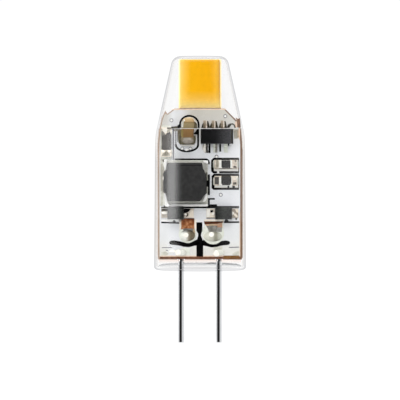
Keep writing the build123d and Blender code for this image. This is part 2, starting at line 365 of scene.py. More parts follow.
def span(nt, which, lo, hi):
    """Runs from 0 to 1 between two positions in mm along an axis."""
    m = nt.nodes.new("ShaderNodeMapRange")
    m.inputs["From Min"].default_value = lo * MM
    m.inputs["From Max"].default_value = hi * MM
    nt.links.new(axis(nt, which, "Object"), m.inputs["Value"])
    return m.outputs[0]


def ramp(nt, fac, stops):
    r = nt.nodes.new("ShaderNodeValToRGB")
    e = r.color_ramp.elements
    e[0].position = stops[0][0]
    e[0].color = (*stops[0][1], 1.0)
    e[1].position = stops[-1][0]
    e[1].color = (*stops[-1][1], 1.0)
    for pos, col in stops[1:-1]:
        k = e.new(pos)
        k.color = (*col, 1.0)
    nt.links.new(fac, r.inputs[0])
    return r.outputs[0]


def blend(nt, a, b, fac=1.0, mode="MULTIPLY"):
    m = nt.nodes.new("ShaderNodeMix")
    m.data_type = "RGBA"
    m.blend_type = mode
    if isinstance(fac, float):
        m.inputs["Factor"].default_value = fac
    else:
        nt.links.new(fac, m.inputs["Factor"])
    for k, v in ((6, a), (7, b)):
        if isinstance(v, tuple):
            m.inputs[k].default_value = (*v, 1.0)
        else:
            nt.links.new(v, m.inputs[k])
    return m.outputs[2]


def bump(nt, p, height, strength, distance):
    b = nt.nodes.new("ShaderNodeBump")
    b.inputs["Strength"].default_value = strength
    b.inputs["Distance"].default_value = distance
    nt.links.new(height, b.inputs["Height"])
    nt.links.new(b.outputs[0], p.inputs["Normal"])


def rough_from(nt, p, fac, lo, hi):
    m = nt.nodes.new("ShaderNodeMapRange")
    m.inputs["To Min"].default_value = lo
    m.inputs["To Max"].default_value = hi
    nt.links.new(fac, m.inputs["Value"])
    nt.links.new(m.outputs[0], p.inputs["Roughness"])


def srgb(r, g, b):
    def f(c):
        c = c / 255.0
        return c / 12.92 if c <= 0.04045 else ((c + 0.055) / 1.055) ** 2.4

    return (f(r), f(g), f(b))


def grey(v):
    return srgb(v, v, v)


def mottled(name, dark, light, scale, rough=0.5, metallic=0.0, bump_s=0.0, bump_d=0.00001, detail=4.0, spread=(0.35, 0.65), spec=0.5):
    """Two close tones mixed by fine noise, with uneven gloss and a matching fine bump."""
    m, nt, p, out = new_mat(name)
    f = noise(nt, scale, detail)
    nt.links.new(ramp(nt, f, [(spread[0], dark), (spread[1], light)]), p.inputs["Base Color"])
    rough_from(nt, p, noise(nt, scale * 0.6, 2.0), rough * 0.8, min(1.0, rough * 1.2))
    p.inputs["Metallic"].default_value = metallic
    p.inputs["Specular IOR Level"].default_value = spec
    if bump_s:
        bump(nt, p, noise(nt, scale * 2.3, 3.0), bump_s, bump_d)
    return m


def zoned(name, along, lo, hi, stops, scale, rough, metallic=0.0, spec=0.4, bump_s=0.2, depth=0.84, cross=None):
    """A finish that changes along the part between two positions in mm, with fine mottling."""
    m, nt, p, out = new_mat(name)
    c = ramp(nt, span(nt, along, lo, hi), stops)
    if cross:
        c = blend(nt, c, ramp(nt, span(nt, *cross[:3]), [(f, (k, k, k)) for f, k in cross[3]]))
    fine = ramp(nt, noise(nt, scale), [(0.3, (depth, depth, depth)), (0.7, (1, 1, 1))])
    nt.links.new(blend(nt, c, fine), p.inputs["Base Color"])
    rough_from(nt, p, noise(nt, scale * 0.5, 2.0), rough * 0.8, rough * 1.2)
    p.inputs["Metallic"].default_value = metallic
    p.inputs["Specular IOR Level"].default_value = spec
    bump(nt, p, noise(nt, scale * 1.3), bump_s, 0.00001)
    return m


def clear_material(name, stops, low, high, soft=None, warm=None):
    """A clear wall: what is behind it shows, a little greyer where the wall is met edge-on, under a thin gloss."""
    m = bpy.data.materials.new(name)
    m.use_nodes = True
    nt = m.node_tree
    for n in list(nt.nodes):
        nt.nodes.remove(n)
    out = nt.nodes.new("ShaderNodeOutputMaterial")
    lw = nt.nodes.new("ShaderNodeLayerWeight")
    lw.inputs["Blend"].default_value = 0.5
    tr = nt.nodes.new("ShaderNodeBsdfTransparent")
    c = ramp(nt, lw.outputs["Facing"], stops)
    if soft:
        z0, z1, k = soft
        part = ramp(nt, span(nt, "Z", z0, z1), [(0.0, (0, 0, 0)), (0.35, (k, k, k)), (0.65, (k, k, k)), (1.0, (0, 0, 0))])
        c = blend(nt, c, (0.975, 0.972, 0.970), part, "MIX")
    # painted reflection: a warm tint near the rim, between the given heights, for the brown board edge seen in the wall
    if warm:
        z0, z1, k = warm
        one = (1.0, 1.0, 1.0)
        tone = ramp(nt, span(nt, "Z", z0, z1), [(0.0, one), (0.10, k), (0.85, k), (1.0, one)])
        rim = ramp(nt, lw.outputs["Facing"], [(0.55, (0, 0, 0)), (0.68, one)])
        c = blend(nt, c, tone, rim)
    nt.links.new(c, tr.inputs["Color"])
    gl = nt.nodes.new("ShaderNodeBsdfGlossy")
    gl.inputs["Roughness"].default_value = 0.0
    gl.inputs["Color"].default_value = (1, 1, 1, 1)
    weight = nt.nodes.new("ShaderNodeMapRange")
    weight.inputs["From Min"].default_value = 0.55
    weight.inputs["From Max"].default_value = 1.0
    weight.inputs["To Min"].default_value = low
    weight.inputs["To Max"].default_value = high
    nt.links.new(lw.outputs["Facing"], weight.inputs["Value"])
    mix = nt.nodes.new("ShaderNodeMixShader")
    level = ramp(nt, span(nt, "Z", 11.0, 26.0), [(0.0, (0.25,) * 3), (0.11, (0.25,) * 3), (0.153, (1, 1, 1)), (0.547, (1, 1, 1)), (0.613, (0.55,) * 3), (0.787, (0.55,) * 3), (0.867, (1, 1, 1))])
    share = nt.nodes.new("ShaderNodeMath")
    share.operation = "MULTIPLY"
    nt.links.new(weight.outputs[0], share.inputs[0])
    nt.links.new(level, share.inputs[1])
    nt.links.new(share.outputs[0], mix.inputs[0])
    nt.links.new(tr.outputs[0], mix.inputs[1])
    nt.links.new(gl.outputs[0], mix.inputs[2])
    nt.links.new(mix.outputs[0], out.inputs[0])
    return m


def mask_material(name, top, low, mid, foot):
    """White mask, greyer and warmer towards the lamp end as painted shade, with an even light grey band down its left
    middle and faint weave showing through.
    """
    m, nt, p, out = new_mat(name)
    c = ramp(nt, axis(nt, "Z"), [(0.0, foot), (0.045, foot), (0.11, mid), (0.34, low), (0.72, low), (0.97, top)])
    none, full = (0.0, 0.0, 0.0), (1.0, 1.0, 1.0)
    across = ramp(nt, span(nt, "X", X(166.0), X(196.0)), [(0.0, none), (0.22, full), (0.50, full), (0.90, none)])
    up = ramp(nt, span(nt, "Z", Z(130.0), Z(107.0)), [(0.0, full), (0.75, full), (1.0, (0.6, 0.6, 0.6))])
    c = blend(nt, c, srgb(226, 228, 231), blend(nt, across, up), "MIX")
    fine = ramp(nt, noise(nt, 700.0, 3.0), [(0.3, (0.93, 0.93, 0.93)), (0.7, (1.0, 1.0, 1.0))])
    nt.links.new(blend(nt, c, fine), p.inputs["Base Color"])
    rough_from(nt, p, noise(nt, 500.0, 2.0), 0.38, 0.52)
    p.inputs["Specular IOR Level"].default_value = 0.3
    w = nt.nodes.new("ShaderNodeTexWave")
    w.wave_type = "BANDS"
    w.bands_direction = "Z"
    w.inputs["Scale"].default_value = 1100.0
    w.inputs["Distortion"].default_value = 1.2
    tc = nt.nodes.new("ShaderNodeTexCoord")
    nt.links.new(tc.outputs["Object"], w.inputs["Vector"])
    bump(nt, p, w.outputs["Fac"], 0.05, 0.00001)
    return m


def phosphor_material():
    """Warm cast layer, with paler bands near its left and right edges as painted highlights, and paler towards its
    lower edge.
    """
    m, nt, p, out = new_mat("phosphor")
    across = ramp(
        nt,
        axis(nt, "X"),
        [
            (0.0, srgb(242, 198, 92)),
            (0.12, srgb(240, 186, 58)),
            (0.27, srgb(234, 171, 9)),
            (0.80, srgb(233, 168, 6)),
            (0.90, srgb(236, 177, 28)),
            (1.0, srgb(206, 150, 34)),
        ],
    )
    pale = ramp(nt, axis(nt, "Z"), [(0.0, srgb(246, 226, 168)), (0.045, srgb(238, 214, 140)), (0.10, srgb(231, 207, 128))])
    low = ramp(nt, axis(nt, "Z"), [(0.0, (1, 1, 1)), (0.06, (0.86, 0.86, 0.86)), (0.12, (0.55, 0.55, 0.55)), (0.20, (0.26, 0.26, 0.26)), (0.36, (0, 0, 0))])
    c = blend(nt, across, pale, low, "MIX")
    fine = ramp(nt, noise(nt, 2600.0, 3.0), [(0.3, (0.93, 0.93, 0.93)), (0.7, (1.0, 1.0, 1.0))])
    c = blend(nt, c, fine)
    nt.links.new(c, p.inputs["Base Color"])
    # painted glow: the layer emits a little of its own colour, to read brighter than it is lit
    nt.links.new(c, p.inputs["Emission Color"])
    p.inputs["Emission Strength"].default_value = 0.18
    rough_from(nt, p, noise(nt, 900.0, 2.0), 0.5, 0.62)
    p.inputs["Specular IOR Level"].default_value = 0.1
    bump(nt, p, noise(nt, 3200.0, 2.0), 0.12, 0.00001)
    return m


def plate_material():
    m, nt, p, out = new_mat("led_carrier")
    c = ramp(nt, noise(nt, 1800.0), [(0.3, srgb(246, 228, 168)), (0.7, srgb(252, 237, 186))])
    nt.links.new(c, p.inputs["Base Color"])
    # painted glow: the carrier emits a little, for the bright halo round the lamp
    nt.links.new(c, p.inputs["Emission Color"])
    p.inputs["Emission Strength"].default_value = 0.31
    rough_from(nt, p, noise(nt, 900.0, 2.0), 0.5, 0.65)
    return m


def copper_material():
    """Bare copper, darker towards its upper edge."""
    m, nt, p, out = new_mat("bare_copper")
    c = ramp(nt, noise(nt, 2400.0, 5.0), [(0.34, srgb(104, 54, 22)), (0.50, srgb(160, 92, 46)), (0.66, srgb(204, 146, 100))])
    edge = ramp(nt, axis(nt, "Z"), [(0.0, (1, 1, 1)), (0.84, (1, 1, 1)), (0.93, (0.60, 0.48, 0.36)), (1.0, (0.34, 0.24, 0.15))])
    nt.links.new(blend(nt, c, edge), p.inputs["Base Color"])
    rough_from(nt, p, noise(nt, 1200.0, 3.0), 0.4, 0.6)
    p.inputs["Metallic"].default_value = 0.15
    bump(nt, p, noise(nt, 2600.0, 4.0), 0.5, 0.00003)
    return m


M_OUT = clear_material(
    "clear_moulding",
    [(0.0, (0.985, 0.985, 0.985)), (0.62, (0.978, 0.978, 0.979)), (0.72, (0.86, 0.86, 0.865)), (0.80, (0.80, 0.80, 0.805)), (0.90, (0.80, 0.80, 0.81)), (1.0, (0.75, 0.75, 0.76))],
    0.04,
    0.06,
    (19.2, 25.0, 0.5),
    (8.4, 23.0, (1.0, 0.986, 0.970)),
)
M_IN = clear_material(
    "clear_moulding_inside",
    [(0.0, (0.985, 0.985, 0.985)), (0.60, (0.980, 0.979, 0.978)), (0.78, (0.970, 0.964, 0.958)), (0.86, (0.905, 0.893, 0.882)), (0.93, (0.905, 0.898, 0.892)), (0.953, (0.82, 0.825, 0.83)), (0.975, (0.71, 0.715, 0.72)), (1.0, (0.58, 0.585, 0.59))],
    0.04,
    0.05,
)
M_PIN = mottled("plated_pin", srgb(236, 237, 239), srgb(242, 243, 245), 900.0, rough=0.05, metallic=1.0)
M_LAM = zoned("board_laminate", "X", -4.45, 4.45, [(0.0, srgb(182, 160, 143)), (0.08, srgb(176, 152, 134)), (0.92, srgb(128, 98, 75)), (1.0, srgb(124, 94, 71))], 2600.0, 0.6, spec=0.2)
M_RUST = mottled("raw_edge", srgb(92, 58, 42), srgb(124, 84, 64), 2200.0, rough=0.6, bump_s=0.3, bump_d=0.00001, spec=0.2)
M_GOLD = mottled("raw_edge_gold", srgb(98, 62, 22), srgb(126, 84, 36), 2200.0, rough=0.6, bump_s=0.3, bump_d=0.00001, spec=0.2)
M_BUFF = mottled("buff_edge", srgb(222, 192, 166), srgb(240, 216, 194), 2200.0, rough=0.6, bump_s=0.2, bump_d=0.00001, spec=0.2)
M_MASK = mask_material("white_mask", srgb(206, 203, 194), srgb(236, 238, 242), srgb(228, 230, 230), srgb(226, 225, 219))
M_SILK = mottled("black_print_and_painted_shadow", srgb(3, 3, 4), srgb(9, 9, 11), 3000.0, rough=0.6, spec=0.05)
M_SILK2 = mottled("grey_print", srgb(92, 92, 100), srgb(122, 122, 130), 3000.0, rough=0.6, spec=0.1)
# dark olive for small dark marks and for painted shadows beside the chip leads, above the resistors and along the
# diodes
M_DARK_AND_SHADOW = mottled("dark_marks_and_painted_shadows", srgb(40, 36, 26), srgb(72, 66, 50), 2400.0, rough=0.5, spec=0.12)
M_FILM = mottled("flux_film", srgb(190, 189, 176), srgb(216, 215, 205), 1900.0, rough=0.45, spec=0.3, bump_s=0.2)
M_PALE = mottled("pale_film", srgb(212, 216, 204), srgb(230, 233, 222), 1500.0, rough=0.4, spec=0.3)
M_BLACK = mottled("black_epoxy", srgb(15, 15, 17), srgb(28, 28, 31), 3800.0, rough=0.55, bump_s=0.3, bump_d=0.000012, spec=0.12)
# painted reflection: the chip's epoxy grows lighter towards its right end
M_CHIP = zoned("driver_epoxy", "X", X(200.5), X(231.5), [(0.0, srgb(14, 14, 15)), (0.45, srgb(25, 25, 27)), (0.75, srgb(38, 38, 41)), (1.0, srgb(58, 58, 62))], 3800.0, 0.55, spec=0.12)
M_DIODE = mottled("diode_epoxy", srgb(16, 18, 18), srgb(52, 56, 52), 5200.0, rough=0.5, bump_s=0.5, bump_d=0.00002, spec=0.2, detail=6.0, spread=(0.42, 0.62))
M_COAT = mottled("resistor_coat", srgb(30, 29, 30), srgb(46, 45, 45), 3800.0, rough=0.5, bump_s=0.3, bump_d=0.000012, spec=0.15)
M_GREY = mottled("grey_ceramic", srgb(74, 72, 69), srgb(94, 91, 88), 2400.0, rough=0.6, bump_s=0.05, bump_d=0.00001, spec=0.1)
M_FERR = mottled("ferrite", srgb(44, 44, 44), srgb(54, 54, 54), 2600.0, rough=0.5, bump_s=0.2, bump_d=0.00001, spec=0.15)
M_FRAME = mottled("choke_frame", srgb(200, 200, 190), srgb(226, 226, 218), 1500.0, rough=0.4, bump_s=0.1, bump_d=0.00001)
M_WHITE = mottled("moulded_post", srgb(244, 244, 241), srgb(252, 252, 250), 1500.0, rough=0.35, bump_s=0.05)
M_TIN = mottled("tin_plate", srgb(204, 190, 172), srgb(244, 234, 221), 2400.0, rough=0.4, metallic=0.2, bump_s=0.4, bump_d=0.00003)
# white tin used as painted highlights: beads, balls, bars and patches on the solder, leads and chip ends
M_TIN_GLINT = mottled("tin_painted_highlight", srgb(232, 228, 218), srgb(252, 249, 242), 1500.0, rough=0.32, metallic=0.0, bump_s=0.15, bump_d=0.00002)
M_ASH = mottled("ash_tin", srgb(142, 140, 134), srgb(182, 180, 174), 1600.0, rough=0.4, metallic=0.1, bump_s=0.2, bump_d=0.00002)
M_SHADE = mottled("frame_painted_shade", srgb(96, 96, 88), srgb(132, 132, 122), 1800.0, rough=0.45, spec=0.2)
# painted shadow: a dark band on the upper leads just above the chip body
M_LEAD = zoned("lead_tin", "Z", Z(152.0), Z(118.0), [(0.0, srgb(194, 178, 159)), (0.40, srgb(194, 178, 159)), (0.66, srgb(104, 92, 72)), (0.75, srgb(114, 102, 82)), (0.84, srgb(156, 142, 121)), (0.93, srgb(194, 178, 158)), (1.0, srgb(204, 189, 170))], 1700.0, 0.4, bump_s=0.1)
M_DLEAD = zoned("diode_lead_tin", "X", X(160.0), X(240.0), [(0.0, srgb(206, 196, 182)), (0.15, srgb(232, 222, 208)), (0.80, srgb(232, 222, 208)), (0.92, srgb(190, 176, 158)), (1.0, srgb(166, 148, 126))], 2400.0, 0.4, metallic=0.2, bump_s=0.4, depth=0.76)
M_TAN = mottled("tan_copper", srgb(164, 142, 112), srgb(196, 174, 144), 2200.0, rough=0.45, bump_s=0.2)
M_OLIV = mottled("olive_tin", srgb(138, 133, 116), srgb(178, 173, 158), 2600.0, rough=0.4, metallic=0.1, bump_s=0.3, bump_d=0.00002)
M_TING = mottled("dull_tin_and_painted_shade", srgb(112, 109, 102), srgb(158, 155, 147), 2200.0, rough=0.4, metallic=0.2, bump_s=0.3, bump_d=0.00002)
M_CREAM = mottled("cream_tin", srgb(238, 227, 209), srgb(250, 243, 230), 1700.0, rough=0.4, bump_s=0.1)
M_PINK = mottled("thin_copper", srgb(190, 146, 116), srgb(222, 184, 156), 2000.0, rough=0.45, bump_s=0.2)
M_DKCU = mottled("dark_copper", srgb(62, 32, 18), srgb(96, 54, 32), 2200.0, rough=0.5, spec=0.2)
M_SOLD = mottled("solder", srgb(206, 207, 196), srgb(232, 233, 224), 900.0, rough=0.34, metallic=0.15, bump_s=0.2, bump_d=0.00003)
M_COPP = copper_material()
M_SIEN = mottled("raw_edge_brown", srgb(98, 65, 42), srgb(134, 95, 66), 2200.0, rough=0.6, bump_s=0.3, bump_d=0.00001, spec=0.2)
M_GREY_GLINT = mottled("grey_tin_painted_highlight", srgb(136, 130, 120), srgb(164, 157, 147), 1600.0, rough=0.5, bump_s=0.1, spec=0.2)
M_TAUP = mottled("taupe_tin", srgb(112, 106, 97), srgb(142, 135, 125), 1600.0, rough=0.4, metallic=0.1, bump_s=0.2, bump_d=0.00002)
M_HONEY = mottled("thin_phosphor", srgb(228, 196, 128), srgb(240, 212, 150), 2200.0, rough=0.5, spec=0.1)
M_OLDK = mottled("dark_olive_and_painted_shadow", srgb(84, 78, 56), srgb(122, 114, 90), 2200.0, rough=0.5, spec=0.15)
M_MOSS = mottled("moss_film", srgb(112, 98, 52), srgb(140, 124, 76), 2200.0, rough=0.5, spec=0.15)
M_DUN = mottled("dun_film", srgb(160, 155, 142), srgb(190, 186, 174), 1800.0, rough=0.45, spec=0.2)
M_WCER = mottled("white_ceramic", srgb(234, 233, 226), srgb(248, 248, 243), 1800.0, rough=0.5, bump_s=0.05)
M_DIE = mottled("led_die", srgb(140, 150, 190), srgb(170, 180, 215), 2000.0, rough=0.2)
M_COIL = mottled("copper_coil", srgb(160, 96, 60), srgb(196, 130, 90), 1500.0, rough=0.3, metallic=0.9)
M_PHOS = phosphor_material()
M_PLATE = plate_material()
M_BROWN = mottled("brown_ceramic", srgb(104, 72, 38), srgb(136, 98, 58), 2200.0, rough=0.45, spec=0.25)
# the palest stops at the top are a painted highlight on the capacitor's upper end
M_CAP = zoned(
    "capacitor_finish",
    "Z",
    Z(144.8),
    Z(117.2),
    [
        (0.00, srgb(72, 68, 50)), (0.05, srgb(98, 92, 72)), (0.14, srgb(120, 112, 92)), (0.26, srgb(132, 122, 98)), (0.29, srgb(128, 98, 60)),
        (0.57, srgb(138, 105, 65)), (0.60, srgb(136, 122, 88)), (0.77, srgb(150, 134, 98)), (0.80, srgb(122, 106, 72)), (0.84, srgb(176, 148, 104)),
        (0.92, srgb(200, 174, 130)), (0.965, srgb(226, 204, 168)), (1.00, srgb(252, 240, 214)),
    ],
    2200.0,
    0.42,
    spec=0.25,
    depth=0.86,
)
# painted reflection and shade: the pad joints darken over their right parts and their tops
M_PADL = zoned(
    "pad_solder_left", "X", X(179.0), X(196.5),
    [(0.0, srgb(222, 224, 213)), (0.38, srgb(230, 230, 222)), (0.54, srgb(152, 144, 126)), (0.68, srgb(104, 94, 74)), (0.88, srgb(106, 97, 78)), (1.0, srgb(150, 146, 130))],
    1300.0, 0.45, metallic=0.05, spec=0.3, cross=("Z", Z(241.0), Z(229.5), [(0.0, 0.92), (0.5, 1.0), (0.72, 0.9), (0.86, 0.34), (1.0, 0.28)]),
)
M_PADR = zoned(
    "pad_solder_right", "X", X(203.0), X(223.0),
    [(0.0, srgb(204, 206, 190)), (0.28, srgb(212, 213, 199)), (0.50, srgb(192, 191, 178)), (0.59, srgb(150, 148, 132)), (0.67, srgb(146, 144, 128)), (0.80, srgb(186, 187, 174)), (1.0, srgb(208, 210, 196))],
    1300.0, 0.45, metallic=0.05, spec=0.3, cross=("Z", Z(242.0), Z(229.5), [(0.0, 0.86), (0.35, 0.94), (0.6, 1.0), (0.8, 0.9), (1.0, 0.45)]),
)

CAD_MATS = {
    "circuit_board": M_LAM,
    "led_plate": M_PLATE,
    "led_phosphor_front": M_PHOS,
    "led_phosphor_back": M_PHOS,
    "led_chips": M_DIE,
    "led_solder": M_SOLD,
    "driver_ic": M_CHIP,
    "input_resistor_body": M_GREY,
    "input_resistor_terminals": M_CREAM,
    "inductor_core": M_FERR,
    "inductor_resin": M_FERR,
    "inductor_base": M_FRAME,
    "inductor_winding": M_COIL,
    "resistor_upper": M_WCER,
    "resistor_lower": M_WCER,
    "resistor_terminals": M_TIN,
    "resistor_coats": M_COAT,
    "diode_left": M_DIODE,
    "diode_right": M_DIODE,
    "diode_leads": M_DLEAD,
    "rear_diodes": M_DIODE,
    "rear_diode_leads": M_TIN,
    "rear_capacitor": M_BROWN,
    "rear_capacitor_terminals": M_TIN,
    "copper_pads": M_COPP,
}
for name, mat in CAD_MATS.items():
    ob = nodes[name]
    if not ob.material_slots:
        ob.data.materials.append(mat)
    for s in ob.material_slots:
        s.material = mat

# ------------------------------------------------------------------ clear capsule
R_BASE, R_SH, Z_SH, Z_TOP, TAPER = 4.86, 4.74, 21.90, 30.25, 0.225
r_top = R_SH - TAPER * (Z_TOP - Z_SH)
outer = [(0.0, Z_BASE), (1.5, Z_BASE), (3.0, Z_BASE)]
outer += round_corner((0, Z_BASE), (R_BASE, Z_BASE), (R_SH, Z_SH), 0.30, 10)
outer += [(R_BASE - (R_BASE - R_SH) * k / 6, Z_BASE + (Z_SH - Z_BASE) * k / 6) for k in range(1, 6)]
outer += round_corner((R_BASE, Z_BASE), (R_SH, Z_SH), (r_top, Z_TOP), 7.5, 12)
outer += [(R_SH + (r_top - R_SH) * k / 6, Z_SH + (Z_TOP - Z_SH) * k / 6) for k in range(2, 6)]
outer += round_corner((R_SH, Z_SH), (r_top, Z_TOP), (0, Z_TOP), 0.95, 14)
outer += [(1.0, Z_TOP), (0.0, Z_TOP)]

Z_IN0 = Z_BASE + 0.32
Z_LEDGE = 22.65
B0, BM, B1, B2 = 4.58, 4.53, 4.42, 4.35
Z_BM = 20.90
z_in = Z_TOP - 0.20
r_in = B2 - TAPER * (z_in - Z_LEDGE)
inner = [(r, Z_IN0 + 0.10 * (1 - (r / 4.5) ** 2)) for r in (0.0, 0.6, 1.2, 1.8, 2.4, 3.0, 3.5, 4.0, 4.3)]
inner += round_corner((4.3, Z_IN0 + 0.009), (B0, Z_IN0 - 0.004), (BM, Z_BM), 0.10, 6)
inner += [(B0 + (BM - B0) * k / 6, Z_IN0 + (Z_BM - Z_IN0) * k / 6) for k in range(1, 6)]
inner += round_corner((B0, Z_IN0), (BM, Z_BM), (B1, Z_LEDGE), 7.0, 6)
inner += round_corner((BM, Z_BM), (B1, Z_LEDGE), (B2, Z_LEDGE), 0.025, 3)
inner += round_corner((B1, Z_LEDGE), (B2, Z_LEDGE), (r_in, z_in), 0.025, 3)
inner += [(B2 + (r_in - B2) * k / 6, Z_LEDGE + (z_in - Z_LEDGE) * k / 6) for k in range(1, 6)]
inner += round_corner((B2, Z_LEDGE), (r_in, z_in), (0, z_in), 0.45, 10)
inner += [(1.0, z_in), (0.0, z_in)]

bm = bmesh.new()
add_lathe(bm, outer, 160)
add_lathe(bm, inner, 160, flip=True, mat=1)
piece("clear_capsule", bm, [M_OUT, M_IN], smooth=True, angle=32, stands_for=("clear_cap", "base_plug"))

# white rib inside the shoulder: painted highlight along the inner ledge
M_LEDGE_GLINT = mottled("ledge_painted_highlight", srgb(236, 238, 240), srgb(246, 247, 248), 900.0, rough=0.4)
bm = bmesh.new()
add_rib(bm, 4.325, Z_LEDGE - 0.02, -42, 52, 0.019)
add_rib(bm, 4.325, Z_LEDGE - 0.02, 138, 232, 0.019)
piece("ledge_painted_highlight", bm, M_LEDGE_GLINT, smooth=True)

# line of potting at the foot of the rear wall
def tint_material(name, lo, hi, stops):
    """A clear tint that changes with height between two levels in mm."""
    m = bpy.data.materials.new(name)
    m.use_nodes = True
    nt = m.node_tree
    for n in list(nt.nodes):
        nt.nodes.remove(n)
    out = nt.nodes.new("ShaderNodeOutputMaterial")
    tr = nt.nodes.new("ShaderNodeBsdfTransparent")
    nt.links.new(ramp(nt, span(nt, "Z", lo, hi), stops), tr.inputs["Color"])
    nt.links.new(tr.outputs[0], out.inputs[0])
    return m


def add_wall(bm, r0, r1, z0, z1, a0, a1, n=48, mat=0):
    """A thin upright band along part of a circle; 180 degrees is the rear."""
    rings = []
    for i in range(n + 1):
        a = math.radians(a0 + (a1 - a0) * i / n)
        k = min(1.0, 6.0 * min(i, n - i) / n + 0.05)
        top = z0 + (z1 - z0) * k
        rings.append(
            [
                bm.verts.new((r * math.sin(a) * MM, -r * math.cos(a) * MM, z * MM))
                for r, z in ((r0, z0), (r1, z0), (r1, top), (r0, top))
            ]
        )
    made = [bm.faces.new(rings[0]), bm.faces.new(list(reversed(rings[-1])))]
    for a, b in zip(rings, rings[1:]):
        for i in range(4):
            j = (i + 1) % 4
            made.append(bm.faces.new([a[i], a[j], b[j], b[i]]))
    for f in made:
        f.material_index = mat
    bmesh.ops.recalc_face_normals(bm, faces=made)


M_POT = tint_material("potting_line", Z_IN0, Z_IN0 + 0.24, [(0.0, (0.78, 0.785, 0.79)), (0.55, (0.77, 0.775, 0.78)), (0.85, (0.88, 0.884, 0.888)), (1.0, (0.98, 0.98, 0.98))])
bm = bmesh.new()
add_wall(bm, 4.36, 4.42, Z_IN0 + 0.014, Z_IN0 + 0.24, 96, 264)
add_wall(bm, 4.28, 4.32, Z_IN0 + 0.014, Z_IN0 + 0.22, 102, 178, mat=1)
M_POT2 = tint_material("potting_line_right", Z_IN0, Z_IN0 + 0.24, [(0.0, (0.885, 0.89, 0.893)), (0.6, (0.875, 0.88, 0.883)), (1.0, (0.975, 0.975, 0.975))])
piece("potting_line", bm, [M_POT, M_POT2], smooth=True, angle=30)

# warm clear tint under the edge of the board: painted reflection of the brown board edge
M_WARM = tint_material("board_edge_painted_reflection", 8.42, 8.80, [(0.0, (1.0, 0.995, 0.99)), (0.4, (1.0, 0.965, 0.945)), (1.0, (0.99, 0.915, 0.875))])
bm = bmesh.new()
for x0, x1 in ((-4.34, -2.25), (-1.75, 1.75), (2.25, 4.34)):
    add_prism(bm, [(x0, 8.42), (x1, 8.42), (x1, 8.80), (x0, 8.80)], F + 0.02, F)
piece("board_edge_painted_reflection", bm, M_WARM)

# ------------------------------------------------------------------ contact pins
for side, name in ((-1, "left"), (1, "right")):
    prof = [(0.0, 0.0), (0.12, 0.0), (0.24, 0.0)]
    prof += [(0.24 + 0.11 * math.sin(math.radians(a)), 0.11 - 0.11 * math.cos(math.radians(a))) for a in range(10, 91, 10)]
    prof += [(0.35, 0.15), (0.35, 2.0), (0.35, 4.0), (0.35, 6.0), (0.35, Z_BASE - 0.02), (0.35, Z_BASE), (0.335, Z_BASE + 0.02), (0.335, Z_BASE + 0.04), (0.335, 8.64), (0.335, 8.66), (0.282, 8.84), (0.282, 8.86), (0.282, 9.58), (0.282, 9.6), (0.24, 9.72), (0.12, 9.75), (0.0, 9.75)]
    bm = bmesh.new()
    add_lathe(bm, prof, 40, cx=2.0 * side)
    piece("contact_pin_" + name, bm, M_PIN, smooth=True, angle=25, stands_for=("pin_" + name,))

# ------------------------------------------------------------------ white mask on the board
mask_outline = [
    (-4.27, 9.14), (4.24, 9.14), (4.24, 20.90), (4.18, 21.78), (4.11, 22.40), (3.98, 23.10), (3.76, 23.38), (2.53, 24.65), (-2.63, 24.65),
    (-3.42, 24.06), (-3.66, 24.20), (-3.76, 24.02), (-3.89, 23.68), (-4.01, 23.18), (-4.14, 22.40), (-4.21, 21.78), (-4.27, 20.90),
]
for y0, y1, name in ((F, F - MASK, "front"), (B, B + MASK, "rear")):
    bm = bmesh.new()
    add_prism(bm, mask_outline, y0, y1)
    piece("white_mask_" + name, bm, M_MASK)

YM = F - MASK            # front of the mask
YB, YF = YM + 0.002, YM - SILK


def patch(pts, y, mat, t=0.006):
    """A thin field of colour on a face at depth y."""
    add_prism(bm, [P(u, v) for u, v in pts], y + 0.002, y - t, mat)


def strip(u0, v0, u1, v1):
    return [(u0, v0), (u1, v0), (u1, v1), (u0, v1)]


def oval(cu, cv, ru, rv, n=20):
    return [(cu + ru * math.cos(2 * math.pi * i / n), cv + rv * math.sin(2 * math.pi * i / n)) for i in range(n)]


# bare laminate along the foot and at the right shoulder
bm = bmesh.new()
add_prism(bm, [(-4.23, 8.87), (4.23, 8.87), (4.23, 9.14), (2.55, 9.14), (-4.23, 9.14)], F, F - 0.030, 0)
for x0, x1 in ((-4.40, -2.42), (-1.58, 1.58), (2.42, 4.40)):
    add_prism(bm, [(x0, 8.805), (x1, 8.805), (x1, 8.90), (x0, 8.90)], F - 0.004, F + 0.40, 3)
add_prism(bm, [(4.43, 9.00), (4.492, 9.00), (4.486, 20.40), (4.43, 20.70)], F - 0.004, F + 0.40, 3)
patch(strip(223.5, 255.5, 239.2, 258.6), F - 0.030, 1)
patch([(235.4, 117.4), (238.2, 119.0), (239.6, 117.6), (240.2, 121.0), (240.7, 127.3), (237.2, 127.3), (236.9, 120.6)], YM, 6)
patch([(234.9, 122.0), (236.8, 121.2), (237.2, 127.6), (235.2, 127.6)], YM, 2)
patch([(238.6, 127.8), (239.8, 127.8), (240.0, 139.4), (238.8, 139.4)], YM, 2)
patch(strip(160.4, 255.6, 196.4, 256.5), F - 0.030, 2)
patch(strip(203.4, 255.6, 223.4, 256.5), F - 0.030, 2)
patch(strip(239.6, 212.0, 240.3, 256.4), YM, 2)
patch([(171.0, 109.6), (175.2, 108.6), (225.0, 108.6), (226.4, 109.9), (175.6, 110.0)], YM, 2)
patch(strip(180.2, 107.0, 220.2, 108.0), F, 4)
patch(strip(179.6, 108.0, 221.0, 109.0), F, 5)
piece("bare_laminate", bm, [M_RUST, M_GOLD, M_BUFF, M_LAM, M_HONEY, M_DARK_AND_SHADOW, M_SIEN])

# ------------------------------------------------------------------ printed lines
# besides print, these lines hold painted shadows beside the chip leads, the capacitor and the diodes
bm = bmesh.new()


